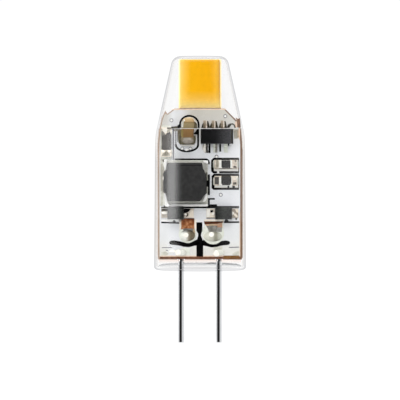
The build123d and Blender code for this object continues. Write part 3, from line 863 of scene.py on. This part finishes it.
def line(pts, w=0.2, mat=0):
    add_prism(bm, stroke([P(u, v) for u, v in pts], w), YB, YF, mat)


def area(pts, mat=0):
    add_prism(bm, [P(u, v) for u, v in pts], YB, YF, mat)


def bow(cu, cv, ru, rv, a0, a1, n=14):
    """Points on an arc of the front drawing; 90 degrees is up."""
    return [
        (
            cu + ru * math.cos(math.radians(a0 + (a1 - a0) * i / n)),
            cv - rv * math.sin(math.radians(a0 + (a1 - a0) * i / n)),
        )
        for i in range(n + 1)
    ]


# outline of the ceramic capacitor
line([(180.0, 127.6)] + bow(189.3, 124.6, 9.3, 8.8, 180, 0) + [(198.6, 128.2)], 0.20)
# painted shadow: dark olive field on the board beside the capacitor's upper right
area([(194.0, 121.6), (195.6, 122.0), (197.0, 124.0), (197.3, 128.6), (194.2, 128.6)], 3)
area([(177.4, 131.4), (178.8, 130.0), (181.2, 129.2), (181.2, 145.0), (180.2, 144.6), (178.6, 142.8), (178.0, 139.0)], 3)
area([(194.0, 135.6), (195.4, 135.2), (196.0, 139.0), (195.4, 142.8), (193.6, 145.0)], 3)
line([(175.9, 131.0), (175.9, 145.0)], 0.12, 1)
line([(177.6, 132.4), (177.6, 142.0)], 0.07, 1)
line([(175.9, 144.4)] + bow(187.0, 144.9, 11.1, 6.4, 184, 356), 0.20)
line([(198.1, 145.6), (198.2, 128.6)], 0.20)
area([(177.4, 125.6), (181.0, 123.2), (181.0, 127.8), (177.8, 128.2)])
area([(193.8, 133.2), (195.6, 131.6), (197.0, 129.2), (198.8, 128.8), (198.8, 134.4), (194.2, 134.6)])
# driver chip: side line, small arch, and painted shadows beside the leads
line([(232.4, 129.0), (232.4, 143.8)], 0.15)
line([(227.4, 127.6), (228.4, 125.2), (230.2, 124.2), (232.6, 124.0), (234.2, 125.2), (235.2, 127.8)], 0.15, 2)
for u in (205.2, 213.5, 222.4):
    area([(u + 1.8, 120.9), (u + 3.2, 121.3), (u + 3.9, 124.2), (u + 4.8, 128.0), (u + 1.8, 128.0)], 2)
    area([(u - 1.8, 128.0), (u - 1.8, 122.8), (u - 2.8, 124.0), (u - 4.0, 128.0)], 2)
# painted shadows: black lines beside the lower leads
line([(209.5, 144.0), (209.6, 153.0)], 0.19)
line([(220.1, 144.0), (220.2, 151.6)], 0.19)
area([(227.0, 127.8), (227.8, 124.9), (230.6, 123.9), (231.0, 125.4), (229.2, 127.8)], 2)
line([(231.4, 129.0), (231.4, 143.6)], 0.17, 2)
area([(227.4, 143.4), (229.6, 143.4), (229.2, 145.8), (228.0, 145.8)])
area([(205.8, 150.6), (208.6, 150.2), (208.6, 153.0), (204.4, 152.6)], 2)
# fine grey line beside the upright chip
line([(173.4, 128.6), (173.4, 160.0)], 0.13, 1)
line([(166.8, 127.8), (171.0, 127.4), (177.6, 127.0)], 0.15, 2)
# choke
line([(174.6, 159.3), (190.0, 159.3), (206.4, 159.3), (208.2, 160.4), (208.9, 162.4), (208.9, 164.2)], 0.19)
line([(208.8, 174.4), (208.8, 195.0)], 0.23)
area([(206.2, 181.0), (208.9, 180.4), (208.9, 186.6), (206.2, 186.0)])
line([(209.0, 198.8), (214.8, 198.8)], 0.17)
line([(208.9, 198.0), (208.9, 207.2)], 0.19)
line([(209.0, 205.1), (217.0, 205.1)], 0.17)
line([(163.0, 158.6), (163.6, 162.2)], 0.13, 2)
line([(163.3, 202.4), (165.2, 207.2)], 0.14, 2)
# resistor boxes
for v0, v1, u0 in ((158.8, 172.2, 212.4), (174.8, 188.7, 212.7)):
    line([(239.0, v0), (u0 + 1.6, v0), (u0, v0 + 1.6), (u0, v1 - 1.2), (u0 + 1.2, v1), (239.0, v1)], 0.23)
    line([(u0 + (0.05 if v0 < 170 else 0.5), v0 + 1.8), (u0 + (0.05 if v0 < 170 else 0.5), v1 - 1.4)], 0.29)
    line([(238.7, v0 + 0.2), (238.7, v1 - 0.2)], 0.11, 2)
area([(227.2, 188.2), (227.6, 185.6), (229.0, 185.6), (229.4, 188.2)])
area([(232.2, 188.2), (232.4, 185.2), (234.6, 185.2), (235.0, 188.2)])
# long lines above and below the diodes; the line above is a painted shadow of the diodes' upper edge
line([(161.2, 207.4), (178.0, 207.2)], 0.17, 2)
line([(177.0, 207.1), (239.0, 207.0)], 0.23)
line([(161.2, 222.3), (179.2, 222.9)], 0.16)
area([(172.0, 222.4), (173.6, 220.0), (175.2, 220.2), (176.0, 222.6)])
line([(224.0, 222.2), (239.2, 222.0)], 0.17)
area([(223.8, 222.2), (225.4, 219.0), (227.4, 219.2), (229.4, 222.4)])
line([(206.4, 217.9), (215.4, 217.7)], 0.13, 2)
area([(235.0, 218.0), (237.4, 217.8), (236.8, 219.8), (235.6, 219.8)], 2)
# fine lines either side of the foot
line([(162.0, 247.6), (172.0, 247.4)], 0.07, 1)
line([(229.0, 247.4), (239.2, 247.0)], 0.09, 1)
line([(166.0, 250.0), (168.0, 250.4)], 0.09, 1)
# dark keep-out mark between the two pins
area([(196.4, 222.2), (202.3, 222.2), (202.3, 230.6), (201.3, 233.2), (201.0, 235.8), (202.2, 238.6), (203.2, 241.0), (203.2, 257.4), (196.4, 257.4), (196.4, 241.0), (197.3, 238.6), (198.2, 235.8), (198.0, 233.2), (196.4, 230.6)])
line([(197.6, 242.2), (193.6, 243.6), (188.8, 244.9), (184.0, 244.5), (179.0, 243.2), (174.0, 242.6), (171.0, 242.5), (169.4, 242.5)], [0.62, 0.48, 0.46, 0.46, 0.46, 0.48, 0.42, 0.20])
line([(202.4, 242.2), (206.6, 243.8), (211.4, 245.1), (216.0, 244.7), (221.0, 243.3), (225.6, 242.7), (228.4, 242.8), (229.9, 243.0)], [0.62, 0.48, 0.46, 0.46, 0.48, 0.50, 0.42, 0.18])
piece("printed_lines_and_painted_shadows", bm, [M_SILK, M_SILK2, M_DARK_AND_SHADOW, M_OLDK])

# ------------------------------------------------------------------ filled vias, with their rings
bm = bmesh.new()
for x, z in ((-3.01, 23.50), (2.67, 23.94), (2.19, 15.64), (1.74, 19.66), (-1.87, 20.50), (-1.00, 20.50)):
    add_ring(bm, x, z, 0.13, 0.20, YB, YF, 0)
    add_dome(bm, x, YM + 0.004, z, 0.128, 0.028, 0.128, seg=20, rows=4, mat=1)
    add_ring(bm, x, z, 0.13, 0.20, B + MASK - 0.002, B + MASK + SILK, 0)
    add_dome(bm, x, B + MASK - 0.004, z, 0.128, 0.028, 0.128, sign=1, seg=20, rows=4, mat=1)
piece("via_rings", bm, [M_SILK2, M_WHITE])

# ------------------------------------------------------------------ films and bare metal on the board
# besides films and bare metal, these patches hold painted shadows and shade
bm = bmesh.new()
patch([(160.3, 158.0), (162.8, 158.0), (163.0, 206.0), (160.3, 206.0)], YM, 0)
patch([(160.5, 163.6), (162.8, 163.6), (163.0, 191.0), (160.6, 191.0)], YM - 0.006, 11, 0.004)
patch([(233.0, 129.2), (238.5, 129.0), (238.6, 138.2), (234.2, 139.0)], YM, 11)
patch([(233.6, 130.8), (237.4, 130.0), (237.4, 138.0), (234.4, 138.0)], YM - 0.009, 9, 0.004)
patch([(235.2, 131.0), (238.6, 130.4), (239.0, 137.0), (236.2, 138.4)], YM - 0.006, 8, 0.004)
patch([(181.8, 247.6), (189.6, 247.8), (190.2, 255.4), (182.0, 255.4)], YM, 1)
patch([(213.4, 246.6), (222.4, 246.0), (221.6, 251.4), (213.8, 251.6)], YM, 0)
patch(strip(161.4, 219.2, 180.6, 221.4), YM, 2)
patch(strip(179.4, 219.4, 181.4, 229.6), YM, 3)
patch(strip(194.3, 219.4, 196.4, 229.0), YM, 3)
patch(strip(213.6, 160.0, 238.4, 171.2), YM, 3, 0.003)
patch(strip(214.0, 176.0, 238.4, 187.6), YM, 3, 0.003)
patch(strip(214.2, 169.2, 238.0, 171.2), YM - 0.003, 2, 0.004)
patch(strip(213.5, 161.0, 215.2, 169.0), YM - 0.003, 2, 0.004)
patch(strip(214.2, 184.9, 238.0, 187.4), YM - 0.003, 2, 0.004)
patch(strip(217.0, 171.0, 219.2, 173.2), YF, 2)
# painted shadows: dark strips on the board just above each resistor
patch(strip(221.6, 159.7, 229.8, 161.0), YM - 0.004, 7, 0.003)
patch(strip(221.4, 175.8, 230.6, 177.2), YM - 0.004, 7, 0.003)
# painted shade: grey field over the board left of the capacitor
patch([(169.0, 127.8), (175.5, 126.2), (180.4, 126.0), (180.6, 131.2), (174.2, 131.2), (173.8, 129.4), (170.0, 129.8)], YM, 6, 0.003)
patch([(161.2, 252.2), (165.5, 251.4), (168.5, 253.6), (166.0, 255.6), (161.2, 255.6)], YM, 0, 0.003)
patch([(239.2, 250.6), (234.5, 252.0), (232.0, 254.0), (233.0, 255.6), (239.2, 255.6)], YM, 0, 0.003)
patch(strip(160.4, 148.8, 172.6, 157.2), YM, 2)
patch([(161.6, 124.8), (163.2, 124.4), (163.6, 126.6), (166.4, 126.2), (166.6, 127.8), (161.4, 128.2)], YM, 0, 0.003)
patch([(160.9, 129.0), (161.8, 129.0), (161.8, 157.6), (160.3, 157.6), (160.3, 134.0)], YM, 0, 0.009)
patch(bow(189.2, 126.4, 7.7, 9.3, 188, -8, 24), YM, 3, 0.003)
# tinned round ends, and the right tongue from its bright upper edge down
YT = F - 0.06
patch(bow(187.7, 234.0, 8.9, 8.9, 147, 393, 40), YT, 1, 0.003)
patch(bow(213.07, 233.2, 10.9, 10.9, 152, 388, 44), YT, 1, 0.003)
# painted shade: grey field over the upper part of the left joint
patch([(182.8, 228.4), (194.4, 228.4), (195.2, 231.6), (195.0, 235.6), (190.0, 234.4), (184.0, 232.4)], YT - 0.001, 6, 0.004)
patch(strip(204.4, 219.4, 223.5, 221.2), YT, 3)
patch([(204.3, 223.0), (207.4, 227.2), (208.8, 231.8), (204.0, 231.8)], YT, 1, 0.004)
patch([(222.0, 222.6), (223.6, 222.4), (223.4, 232.6), (221.6, 232.6)], YT, 1, 0.004)
patch([(203.9, 221.2), (217.6, 221.2), (222.2, 221.3), (222.2, 222.5), (217.6, 223.6), (204.6, 224.4)], YT - 0.006, 4, 0.003)
patch([(205.0, 223.1), (222.2, 222.7), (222.4, 227.3), (207.3, 227.3)], YT - 0.004, 5, 0.003)
patch([(208.4, 224.0), (214.0, 223.8), (214.6, 226.8), (209.6, 226.8)], YT - 0.007, 8, 0.003)
# painted reflection: grey fields over the right tongue and the top of its joint
patch([(207.2, 227.2), (222.2, 227.2), (221.8, 231.9), (208.8, 231.9)], YT - 0.004, 10, 0.003)
patch([(206.0, 225.6), (217.6, 225.4), (216.8, 229.6), (215.6, 231.9), (210.6, 231.9), (208.0, 228.8)], YT - 0.011, 6, 0.003)
patch([(192.6, 228.6), (194.6, 228.6), (195.2, 233.4), (193.4, 233.8)], YT - 0.004, 8, 0.003)
# edge shadows of the resistors
patch(strip(214.6, 167.5, 237.0, 168.8), YM - 0.003, 7, 0.004)
piece("board_films_and_painted_shade", bm, [M_FILM, M_PALE, M_WHITE, M_CREAM, M_DKCU, M_PINK, M_TING, M_DARK_AND_SHADOW, M_TAN, M_OLIV, M_ASH, M_DUN])

# ------------------------------------------------------------------ ceramic capacitor
bm = bmesh.new()
add_upright(
    bm,
    [
        (Z(v), X(u0), X(u1), d)
        for v, u0, u1, d in (
            (144.7, 181.8, 193.6, 0.60), (144.0, 181.1, 194.4, 0.76), (142.5, 180.9, 194.6, 0.88), (139.6, 180.9, 194.2, 0.94), (136.8, 181.0, 193.8, 0.95),
            (133.0, 181.0, 193.8, 0.95), (128.6, 181.4, 194.2, 0.95), (124.0, 181.6, 194.6, 0.95), (122.2, 181.9, 194.5, 0.93), (120.6, 182.4, 194.1, 0.88),
            (119.2, 183.2, 193.4, 0.80), (118.2, 184.4, 192.4, 0.68), (117.5, 186.0, 191.0, 0.50), (117.3, 187.2, 190.0, 0.34),
        )
    ],
    F,
)
piece("capacitor", bm, M_CAP, smooth=True, angle=50, stands_for=("capacitor_body", "capacitor_terminals"))

# ------------------------------------------------------------------ leads of the driver chip
bm = bmesh.new()
Z1, Z0 = 22.60, 21.03
t = 0.14
ya, yb = F - 0.64, F - 0.64 + t
up = [(ya, Z1), (ya, Z1 + 0.24), (F - t, Z1 + 0.36), (F - t, Z1 + 0.88), (F, Z1 + 0.88), (F, Z1 + 0.26), (yb, Z1 + 0.14), (yb, Z1)]
down = [(ya, Z0), (ya, Z0 - 0.24), (F - t, Z0 - 0.36), (F - t, Z0 - 0.92), (F, Z0 - 0.92), (F, Z0 - 0.26), (yb, Z0 - 0.14), (yb, Z0)]
for x in (0.55, 1.43, 2.37):
    add_prism_x(bm, up, x - 0.20, x + 0.06, 0)
    add_prism_x(bm, up, x + 0.06, x + 0.20, 1)
# lower leads: a white or pale left half as painted highlight, and a grey right half as painted shade on the first two
for x, left, right in ((0.62, 2, 5), (1.62, 4, 3), (2.72, 4, 4)):
    add_prism_x(bm, down, x - 0.20, x - 0.02, left)
    add_prism_x(bm, down, x - 0.02, x + 0.20, right)
# white domes: painted highlights on the lower leads
add_dome(bm, X(203.6), YM, Z(147.6), 0.13, 0.12, 0.34, seg=20, rows=6, mat=2)
add_dome(bm, X(215.8), F - 0.50, Z(144.9), 0.17, 0.10, 0.12, seg=20, rows=6, mat=2)
piece("chip_leads", bm, [M_LEAD, M_TIN, M_TIN_GLINT, M_TING, M_PALE, M_GREY], stands_for=("driver_ic_leads",))

# ------------------------------------------------------------------ finish of the chip ends and tabs
# the white patches here are painted highlights, and the frame patch is painted shade
bm = bmesh.new()
YC = F - 0.55            # front of the upright chip
patch([(162.8, 129.6), (165.0, 127.8), (167.6, 129.8), (165.8, 133.4), (163.8, 131.8)], YC, 0)
patch([(161.4, 130.4), (162.6, 130.6), (165.6, 134.2), (165.0, 135.4), (161.4, 135.4)], YC, 1)
patch([(165.6, 135.4), (166.6, 133.2), (170.6, 131.4), (171.4, 135.4)], YC, 2)
patch([(166.8, 127.6), (171.6, 127.5), (171.6, 128.4), (167.6, 129.0)], YC, 3)
patch([(167.8, 129.3), (171.0, 128.7), (170.8, 131.1), (167.2, 132.6), (166.9, 131.6)], YC, 7)
patch([(161.4, 128.4), (162.6, 128.8), (162.4, 130.3), (161.4, 130.2)], YC, 7)
patch([(161.8, 155.9), (162.8, 153.2), (164.8, 152.4), (166.4, 150.2), (168.2, 152.4), (169.6, 153.4), (170.4, 155.9)], YC, 7)
patch([(161.5, 148.4), (171.5, 148.4), (170.0, 150.0), (163.0, 150.0)], YC, 2)
YR = F - 0.45            # front of the resistors
patch(strip(216.0, 160.2, 218.4, 167.6), YR, 7)
patch([(234.4, 160.4), (236.4, 160.4), (235.6, 162.4)], YR, 4)
patch([(233.4, 165.8), (236.0, 166.2), (236.6, 167.8), (233.4, 167.8)], YR, 4)
patch(strip(214.8, 176.8, 218.9, 184.2), YR, 2)
patch(strip(221.4, 160.5, 230.3, 167.2), F - 0.447, 9, 0.005)
patch(strip(221.2, 176.5, 231.2, 183.6), F - 0.447, 9, 0.005)
patch([(233.0, 182.4), (236.2, 182.0), (236.4, 184.4), (233.0, 184.6)], YR, 4)
patch(strip(236.0, 176.8, 236.9, 178.6), YR, 0)
YD = F - 0.18            # front of the diode tabs
patch([(161.5, 208.6), (167.5, 208.6), (167.5, 210.8), (161.5, 211.2)], YD, 4)
patch([(183.8, 208.6), (191.0, 208.6), (188.8, 211.4), (187.0, 212.4), (183.8, 212.8)], YD, 3)
patch([(188.6, 217.3), (189.6, 213.2), (191.2, 210.4), (193.6, 209.0), (193.6, 217.3)], YD, 5)
patch(bow(185.6, 214.4, 2.6, 2.4, -70, 50, 8) + bow(185.6, 214.4, 1.5, 1.5, 50, -70, 8), YD, 4)
patch([(206.5, 209.0), (210.0, 209.0), (209.6, 217.0), (206.5, 217.0)], YD, 0)
patch([(210.2, 210.2), (213.2, 210.0), (212.8, 212.2), (210.6, 212.4)], YD, 3)
patch([(210.0, 213.0), (214.8, 215.4), (214.8, 217.2), (210.0, 217.2)], YD, 5)
patch([(233.6, 213.8), (235.4, 213.2), (238.0, 216.0), (237.0, 217.4), (234.6, 215.8)], YD, 5)
patch([(235.0, 209.0), (238.2, 209.0), (238.2, 212.6), (236.4, 212.2)], YD, 5)
# edges of the capacitor
YK = F - 0.95
patch([(181.9, 122.6), (183.2, 120.4), (184.6, 120.6), (183.6, 122.8), (183.2, 127.4), (181.7, 127.4)], YK, 11, 0.004)
patch([(181.2, 129.4), (183.3, 129.4), (183.3, 136.6), (181.2, 136.6)], YK, 12, 0.004)
# fine dark line under the upper edge of the choke's face
YI = F - 1.72
patch(strip(168.6, 164.8, 201.0, 165.5), YI, 6, 0.004)
patch([(205.7, 180.8), (207.8, 180.2), (207.8, 186.8), (205.7, 186.2)], F - 0.324, 3, 0.004)
# painted shade on the choke frame beside the barrel
patch([(205.6, 171.4), (207.4, 172.6), (207.4, 194.2), (205.2, 195.4)], F - 0.32, 8, 0.004)
patch([(162.0, 165.4), (164.2, 167.0), (164.6, 170.6), (164.6, 192.4), (164.0, 192.8), (162.0, 192.8)], F - 0.32, 10, 0.004)
piece("end_finish_and_painted_light", bm, [M_TIN_GLINT, M_TING, M_GREY, M_SILK, M_DARK_AND_SHADOW, M_CREAM, M_BLACK, M_OLIV, M_SHADE, M_COAT, M_DUN, M_FILM, M_MOSS])

# ------------------------------------------------------------------ solder
bm = bmesh.new()
YS = YM + 0.004
add_ramp(bm, -2.00, -0.58, 20.80, 20.93, YS, 0.30, "z1", mat=1)
add_ramp(bm, -4.06, -3.02, 22.76, 22.94, YS, 0.40, "z0")
add_ramp(bm, -4.06, -3.02, 19.38, 19.65, YS, 0.40, "z1")
for z0, z1 in ((18.42, 19.32), (16.62, 17.52)):
    add_ramp(bm, 1.38, 1.50, z0 + 0.04, z1 - 0.04, YS, 0.30, "x1")
    add_ramp(bm, 3.90, 4.06, z0 + 0.04, z1 - 0.04, YS, 0.30, "x0")
# white balls: painted highlights on the chip ends, diode tabs and board
for u, v, rx, rz, h, y in (
    (171.3, 131.8, 0.09, 0.20, 0.06, YC),
    (163.2, 151.2, 0.16, 0.13, 0.08, YC),
    (169.4, 151.2, 0.16, 0.13, 0.08, YC),
    (165.0, 212.8, 0.36, 0.17, 0.12, YD),
    (185.5, 214.3, 0.15, 0.15, 0.14, YD),
    (213.4, 213.6, 0.16, 0.16, 0.14, YD),
    (232.6, 213.0, 0.16, 0.16, 0.14, YD),
    (184.3, 120.4, 0.10, 0.09, 0.05, F - 0.86),
    (172.6, 251.0, 0.34, 0.15, 0.05, YM),
    (187.6, 149.8, 0.12, 0.09, 0.03, YM),
    (163.4, 178.0, 0.05, 0.20, 0.05, F - 1.66),
):
    add_dome(bm, X(u), y, Z(v), rx, h, rz, seg=20, rows=6, mat=1)
add_dome(bm, X(187.9), F - 0.90, Z(140.4), 0.60, 0.075, 0.37, seg=32, rows=6, mat=2)
# pale lens on the capacitor's lower end: painted highlight
add_dome(bm, X(187.6), F - 0.950, Z(138.8), 0.42, 0.03, 0.12, seg=28, rows=5, mat=4)
for u, v in ((182.3, 148.6), (190.4, 148.6), (186.3, 149.8)):
    add_dome(bm, X(u), YM, Z(v), 0.15, 0.05, 0.13, seg=24, rows=6, mat=3)
fillets_and_glints = piece("solder_fillets_and_painted_highlights", bm, [M_SOLD, M_TIN_GLINT, M_TAUP, M_WHITE, M_GREY_GLINT], smooth=True, angle=50)

# round joints over the pads and the pin roots, each with a white bead as a painted highlight
bm = bmesh.new()
add_dome(bm, X(187.5), F - 0.06, Z(235.4), 0.80, 0.26, 0.60, lean=(0.02, -0.02), seg=48, rows=16, mat=0)
add_dome(bm, X(212.8), F - 0.06, Z(236.4), 0.98, 0.26, 0.52, lean=(0.0, 0.04), seg=48, rows=16, mat=1)
add_dome(bm, X(186.2), F - 0.285, Z(235.0), 0.255, 0.08, 0.255, seg=28, rows=6, mat=2)
add_dome(bm, X(211.6), F - 0.262, Z(234.5), 0.29, 0.095, 0.29, seg=28, rows=6, mat=2)
add_ring(bm, -1.30, 11.50, 0.90, 0.95, YB, YM - 0.012, 3, 40)
add_ring(bm, 1.38, 11.58, 1.12, 1.17, YB, YM - 0.012, 3, 44)
pads = piece("pad_joints", bm, [M_PADL, M_PADR, M_TIN_GLINT, M_PALE], smooth=True, angle=60, stands_for=("pad_solder",))
bm = bmesh.new()
for sx, u, v in ((-1, 178.2, 252.4), (1, 216.4, 253.4)):
    add_dome(bm, 2.0 * sx, YS, 9.55, 0.62, 0.26, 0.36, seg=40, rows=12, mat=0)
    add_dome(bm, X(u), F - 0.20, Z(v), 0.33, 0.12, 0.33, seg=28, rows=8, mat=1)
    add_dome(bm, 2.0 * sx, B + MASK - 0.004, 9.55, 0.62, 0.34, 0.36, sign=1, seg=40, rows=12, mat=0)
roots = piece("pin_joints", bm, [M_SOLD, M_TIN_GLINT], smooth=True, angle=60, stands_for=("pin_solder",))

# white posts and rail of the choke's frame
bm = bmesh.new()
yp0, yp1 = F - 1.10, F - 0.30
for poly in (
    [(164.4, 159.6), (166.9, 159.0), (166.9, 164.0), (166.6, 167.4), (166.2, 170.2), (164.8, 170.4), (164.4, 166.0)],
    [(164.2, 193.4), (165.6, 192.6), (166.8, 195.4), (167.3, 200.0), (168.2, 203.0), (169.2, 203.9), (169.2, 206.2), (165.6, 206.2), (164.9, 200.0)],
    [(203.2, 160.4), (208.0, 160.4), (208.0, 163.4), (206.6, 163.6), (205.2, 162.6), (203.4, 162.4)],
    [(204.8, 194.6), (206.8, 193.2), (207.4, 197.0), (205.8, 200.4), (203.2, 201.6), (203.2, 199.4)],
):
    add_prism(bm, [P(u, v) for u, v in poly], yp1, yp0)
add_prism(bm, [P(u, v) for u, v in strip(168.8, 203.9, 207.6, 206.2)], yp1, F - 0.55)
ob = piece("choke_posts", bm, M_WHITE)
bv = ob.modifiers.new("edges", "BEVEL")
bv.width = 0.00004
bv.segments = 3
bv.limit_method = "ANGLE"

# print on the rear of the board
bm = bmesh.new()
RB, RF = B + MASK - 0.002, B + MASK + SILK
for pts, w in (
    ([(-1.85, 16.9), (1.85, 16.9), (1.85, 18.9), (-1.85, 18.9), (-1.85, 17.0)], 0.15),
    ([(-4.1, 14.52), (4.1, 14.52)], 0.15),
    ([(-4.1, 12.86), (4.1, 12.86)], 0.15),
    ([(-3.2, 20.2), (-1.4, 20.2), (-1.4, 22.6), (-3.2, 22.6), (-3.2, 20.3)], 0.12),
    ([(1.4, 20.2), (3.2, 20.2), (3.2, 22.6), (1.4, 22.6), (1.4, 20.3)], 0.12),
):
    add_prism(bm, stroke(pts, w), RB, RF)
piece("rear_print", bm, M_SILK)


# ------------------------------------------------------------------ stage, light and camera
def stage_material():
    m, nt, p, out = new_mat("pale_floor")
    c = ramp(nt, noise(nt, 6.0, 2.0), [(0.0, grey(118)), (1.0, grey(124))])
    nt.links.new(c, p.inputs["Base Color"])
    p.inputs["Roughness"].default_value = 1.0
    p.inputs["Specular IOR Level"].default_value = 0.0
    p.inputs["Emission Color"].default_value = (1, 1, 1, 1)
    p.inputs["Emission Strength"].default_value = 0.86
    return m


bm = bmesh.new()
bmesh.ops.create_grid(bm, x_segments=4, y_segments=4, size=4.0)
floor = finish_object("floor", bm, stage_material())
floor.visible_glossy = False

# a white studio, dark behind the camera, with a soft panel at the left
world = bpy.data.worlds.new("studio")
scene.world = world
world.use_nodes = True
nt = world.node_tree
for n in list(nt.nodes):
    nt.nodes.remove(n)
wo = nt.nodes.new("ShaderNodeOutputWorld")
bg = nt.nodes.new("ShaderNodeBackground")
tc = nt.nodes.new("ShaderNodeTexCoord")
sp = nt.nodes.new("ShaderNodeSeparateXYZ")
nt.links.new(tc.outputs["Generated"], sp.inputs[0])


def math_node(op, a, b=None):
    m = nt.nodes.new("ShaderNodeMath")
    m.operation = op
    for k, v in enumerate((a, b)):
        if v is None:
            continue
        if isinstance(v, (int, float)):
            m.inputs[k].default_value = v
        else:
            nt.links.new(v, m.inputs[k])
    return m.outputs[0]


def step(value, lo, hi):
    m = nt.nodes.new("ShaderNodeMapRange")
    m.interpolation_type = "SMOOTHSTEP"
    m.inputs["From Min"].default_value = lo
    m.inputs["From Max"].default_value = hi
    nt.links.new(value, m.inputs["Value"])
    return m.outputs[0]


turn = math_node("ARCTAN2", sp.outputs["X"], math_node("MULTIPLY", sp.outputs["Y"], -1.0))
turn = math_node("ADD", math_node("DIVIDE", turn, 2 * math.pi), 0.5)
TOP = 4.0


def band(stops):
    return ramp(nt, turn, [(d / 360.0 + 0.5, (v / TOP,) * 3) for d, v in stops])


level = band([(-180, 1.03), (-104, 1.03), (-96, 1.5), (-92, 3.4), (-76, 3.5), (-70, 3.1), (-66.5, 2.3), (-63, 1.75), (-60, 1.25), (-57, 0.75), (-54, 0.45), (-50, 0.16), (-45, 0.04), (-38, 0.02), (40, 0.02), (52, 0.2), (64, 0.55), (90, 0.62), (102, 1.03), (180, 1.03)])
raised = band([(-180, 1.03), (-100, 1.03), (-80, 0.5), (-45, 0.06), (-38, 0.02), (38, 0.02), (52, 0.2), (90, 0.62), (102, 1.03), (180, 1.03)])
lower = band([(-180, 1.03), (-110, 0.98), (-80, 0.90), (-65, 0.45), (-55, 0.02), (16, 0.02), (27, 0.40), (42, 0.70), (90, 0.88), (125, 1.03), (180, 1.03)])
col = blend(nt, lower, level, step(sp.outputs["Z"], -0.043, -0.034), "MIX")
col = blend(nt, col, raised, step(sp.outputs["Z"], 0.16, 0.40), "MIX")
col = blend(nt, col, (1.0 / TOP,) * 3, step(math_node("ABSOLUTE", sp.outputs["Z"]), 0.52, 0.74), "MIX")
nt.links.new(col, bg.inputs["Color"])
bg.inputs["Strength"].default_value = TOP
nt.links.new(bg.outputs[0], wo.inputs[0])


def area_light(name, loc, target, sx, sy, power, shape="RECTANGLE"):
    d = bpy.data.lights.new(name, "AREA")
    d.shape = shape
    d.size, d.size_y = sx, sy
    d.energy = power
    o = bpy.data.objects.new(name, d)
    o.location = loc
    o.rotation_euler = (Vector(target) - Vector(loc)).to_track_quat("-Z", "Y").to_euler()
    scene.collection.objects.link(o)
    return o


mid = (0.0, 0.0, 0.016)
front = area_light("front_softbox", (-0.05, -0.25, 0.235), mid, 0.30, 0.30, 0.93)
front.visible_glossy = False

# a lamp for the glints on the solder alone
glint = area_light("glint", (-0.045, -0.33, 0.016), mid, 0.12, 0.12, 0.30, "DISK")
glint.visible_camera = False
soldered = bpy.data.collections.new("soldered")
for o in (pads, roots, fillets_and_glints):
    soldered.objects.link(o)
glint.light_linking.receiver_collection = soldered

cam = bpy.data.cameras.new("camera")
cam.sensor_width = 36.0
cam_ob = bpy.data.objects.new("camera", cam)
scene.collection.objects.link(cam_ob)
aim = Vector((0.0, 0.0, Z(200.0)))
loc = Vector((0.0, -310.0, 22.7))
cam.lens = 36.0 * (aim - loc).length / (400.0 / S)
cam.clip_start = 0.01
cam.clip_end = 20.0
cam_ob.location = loc * MM
cam_ob.rotation_euler = (aim - loc).to_track_quat("-Z", "Y").to_euler()
scene.camera = cam_ob
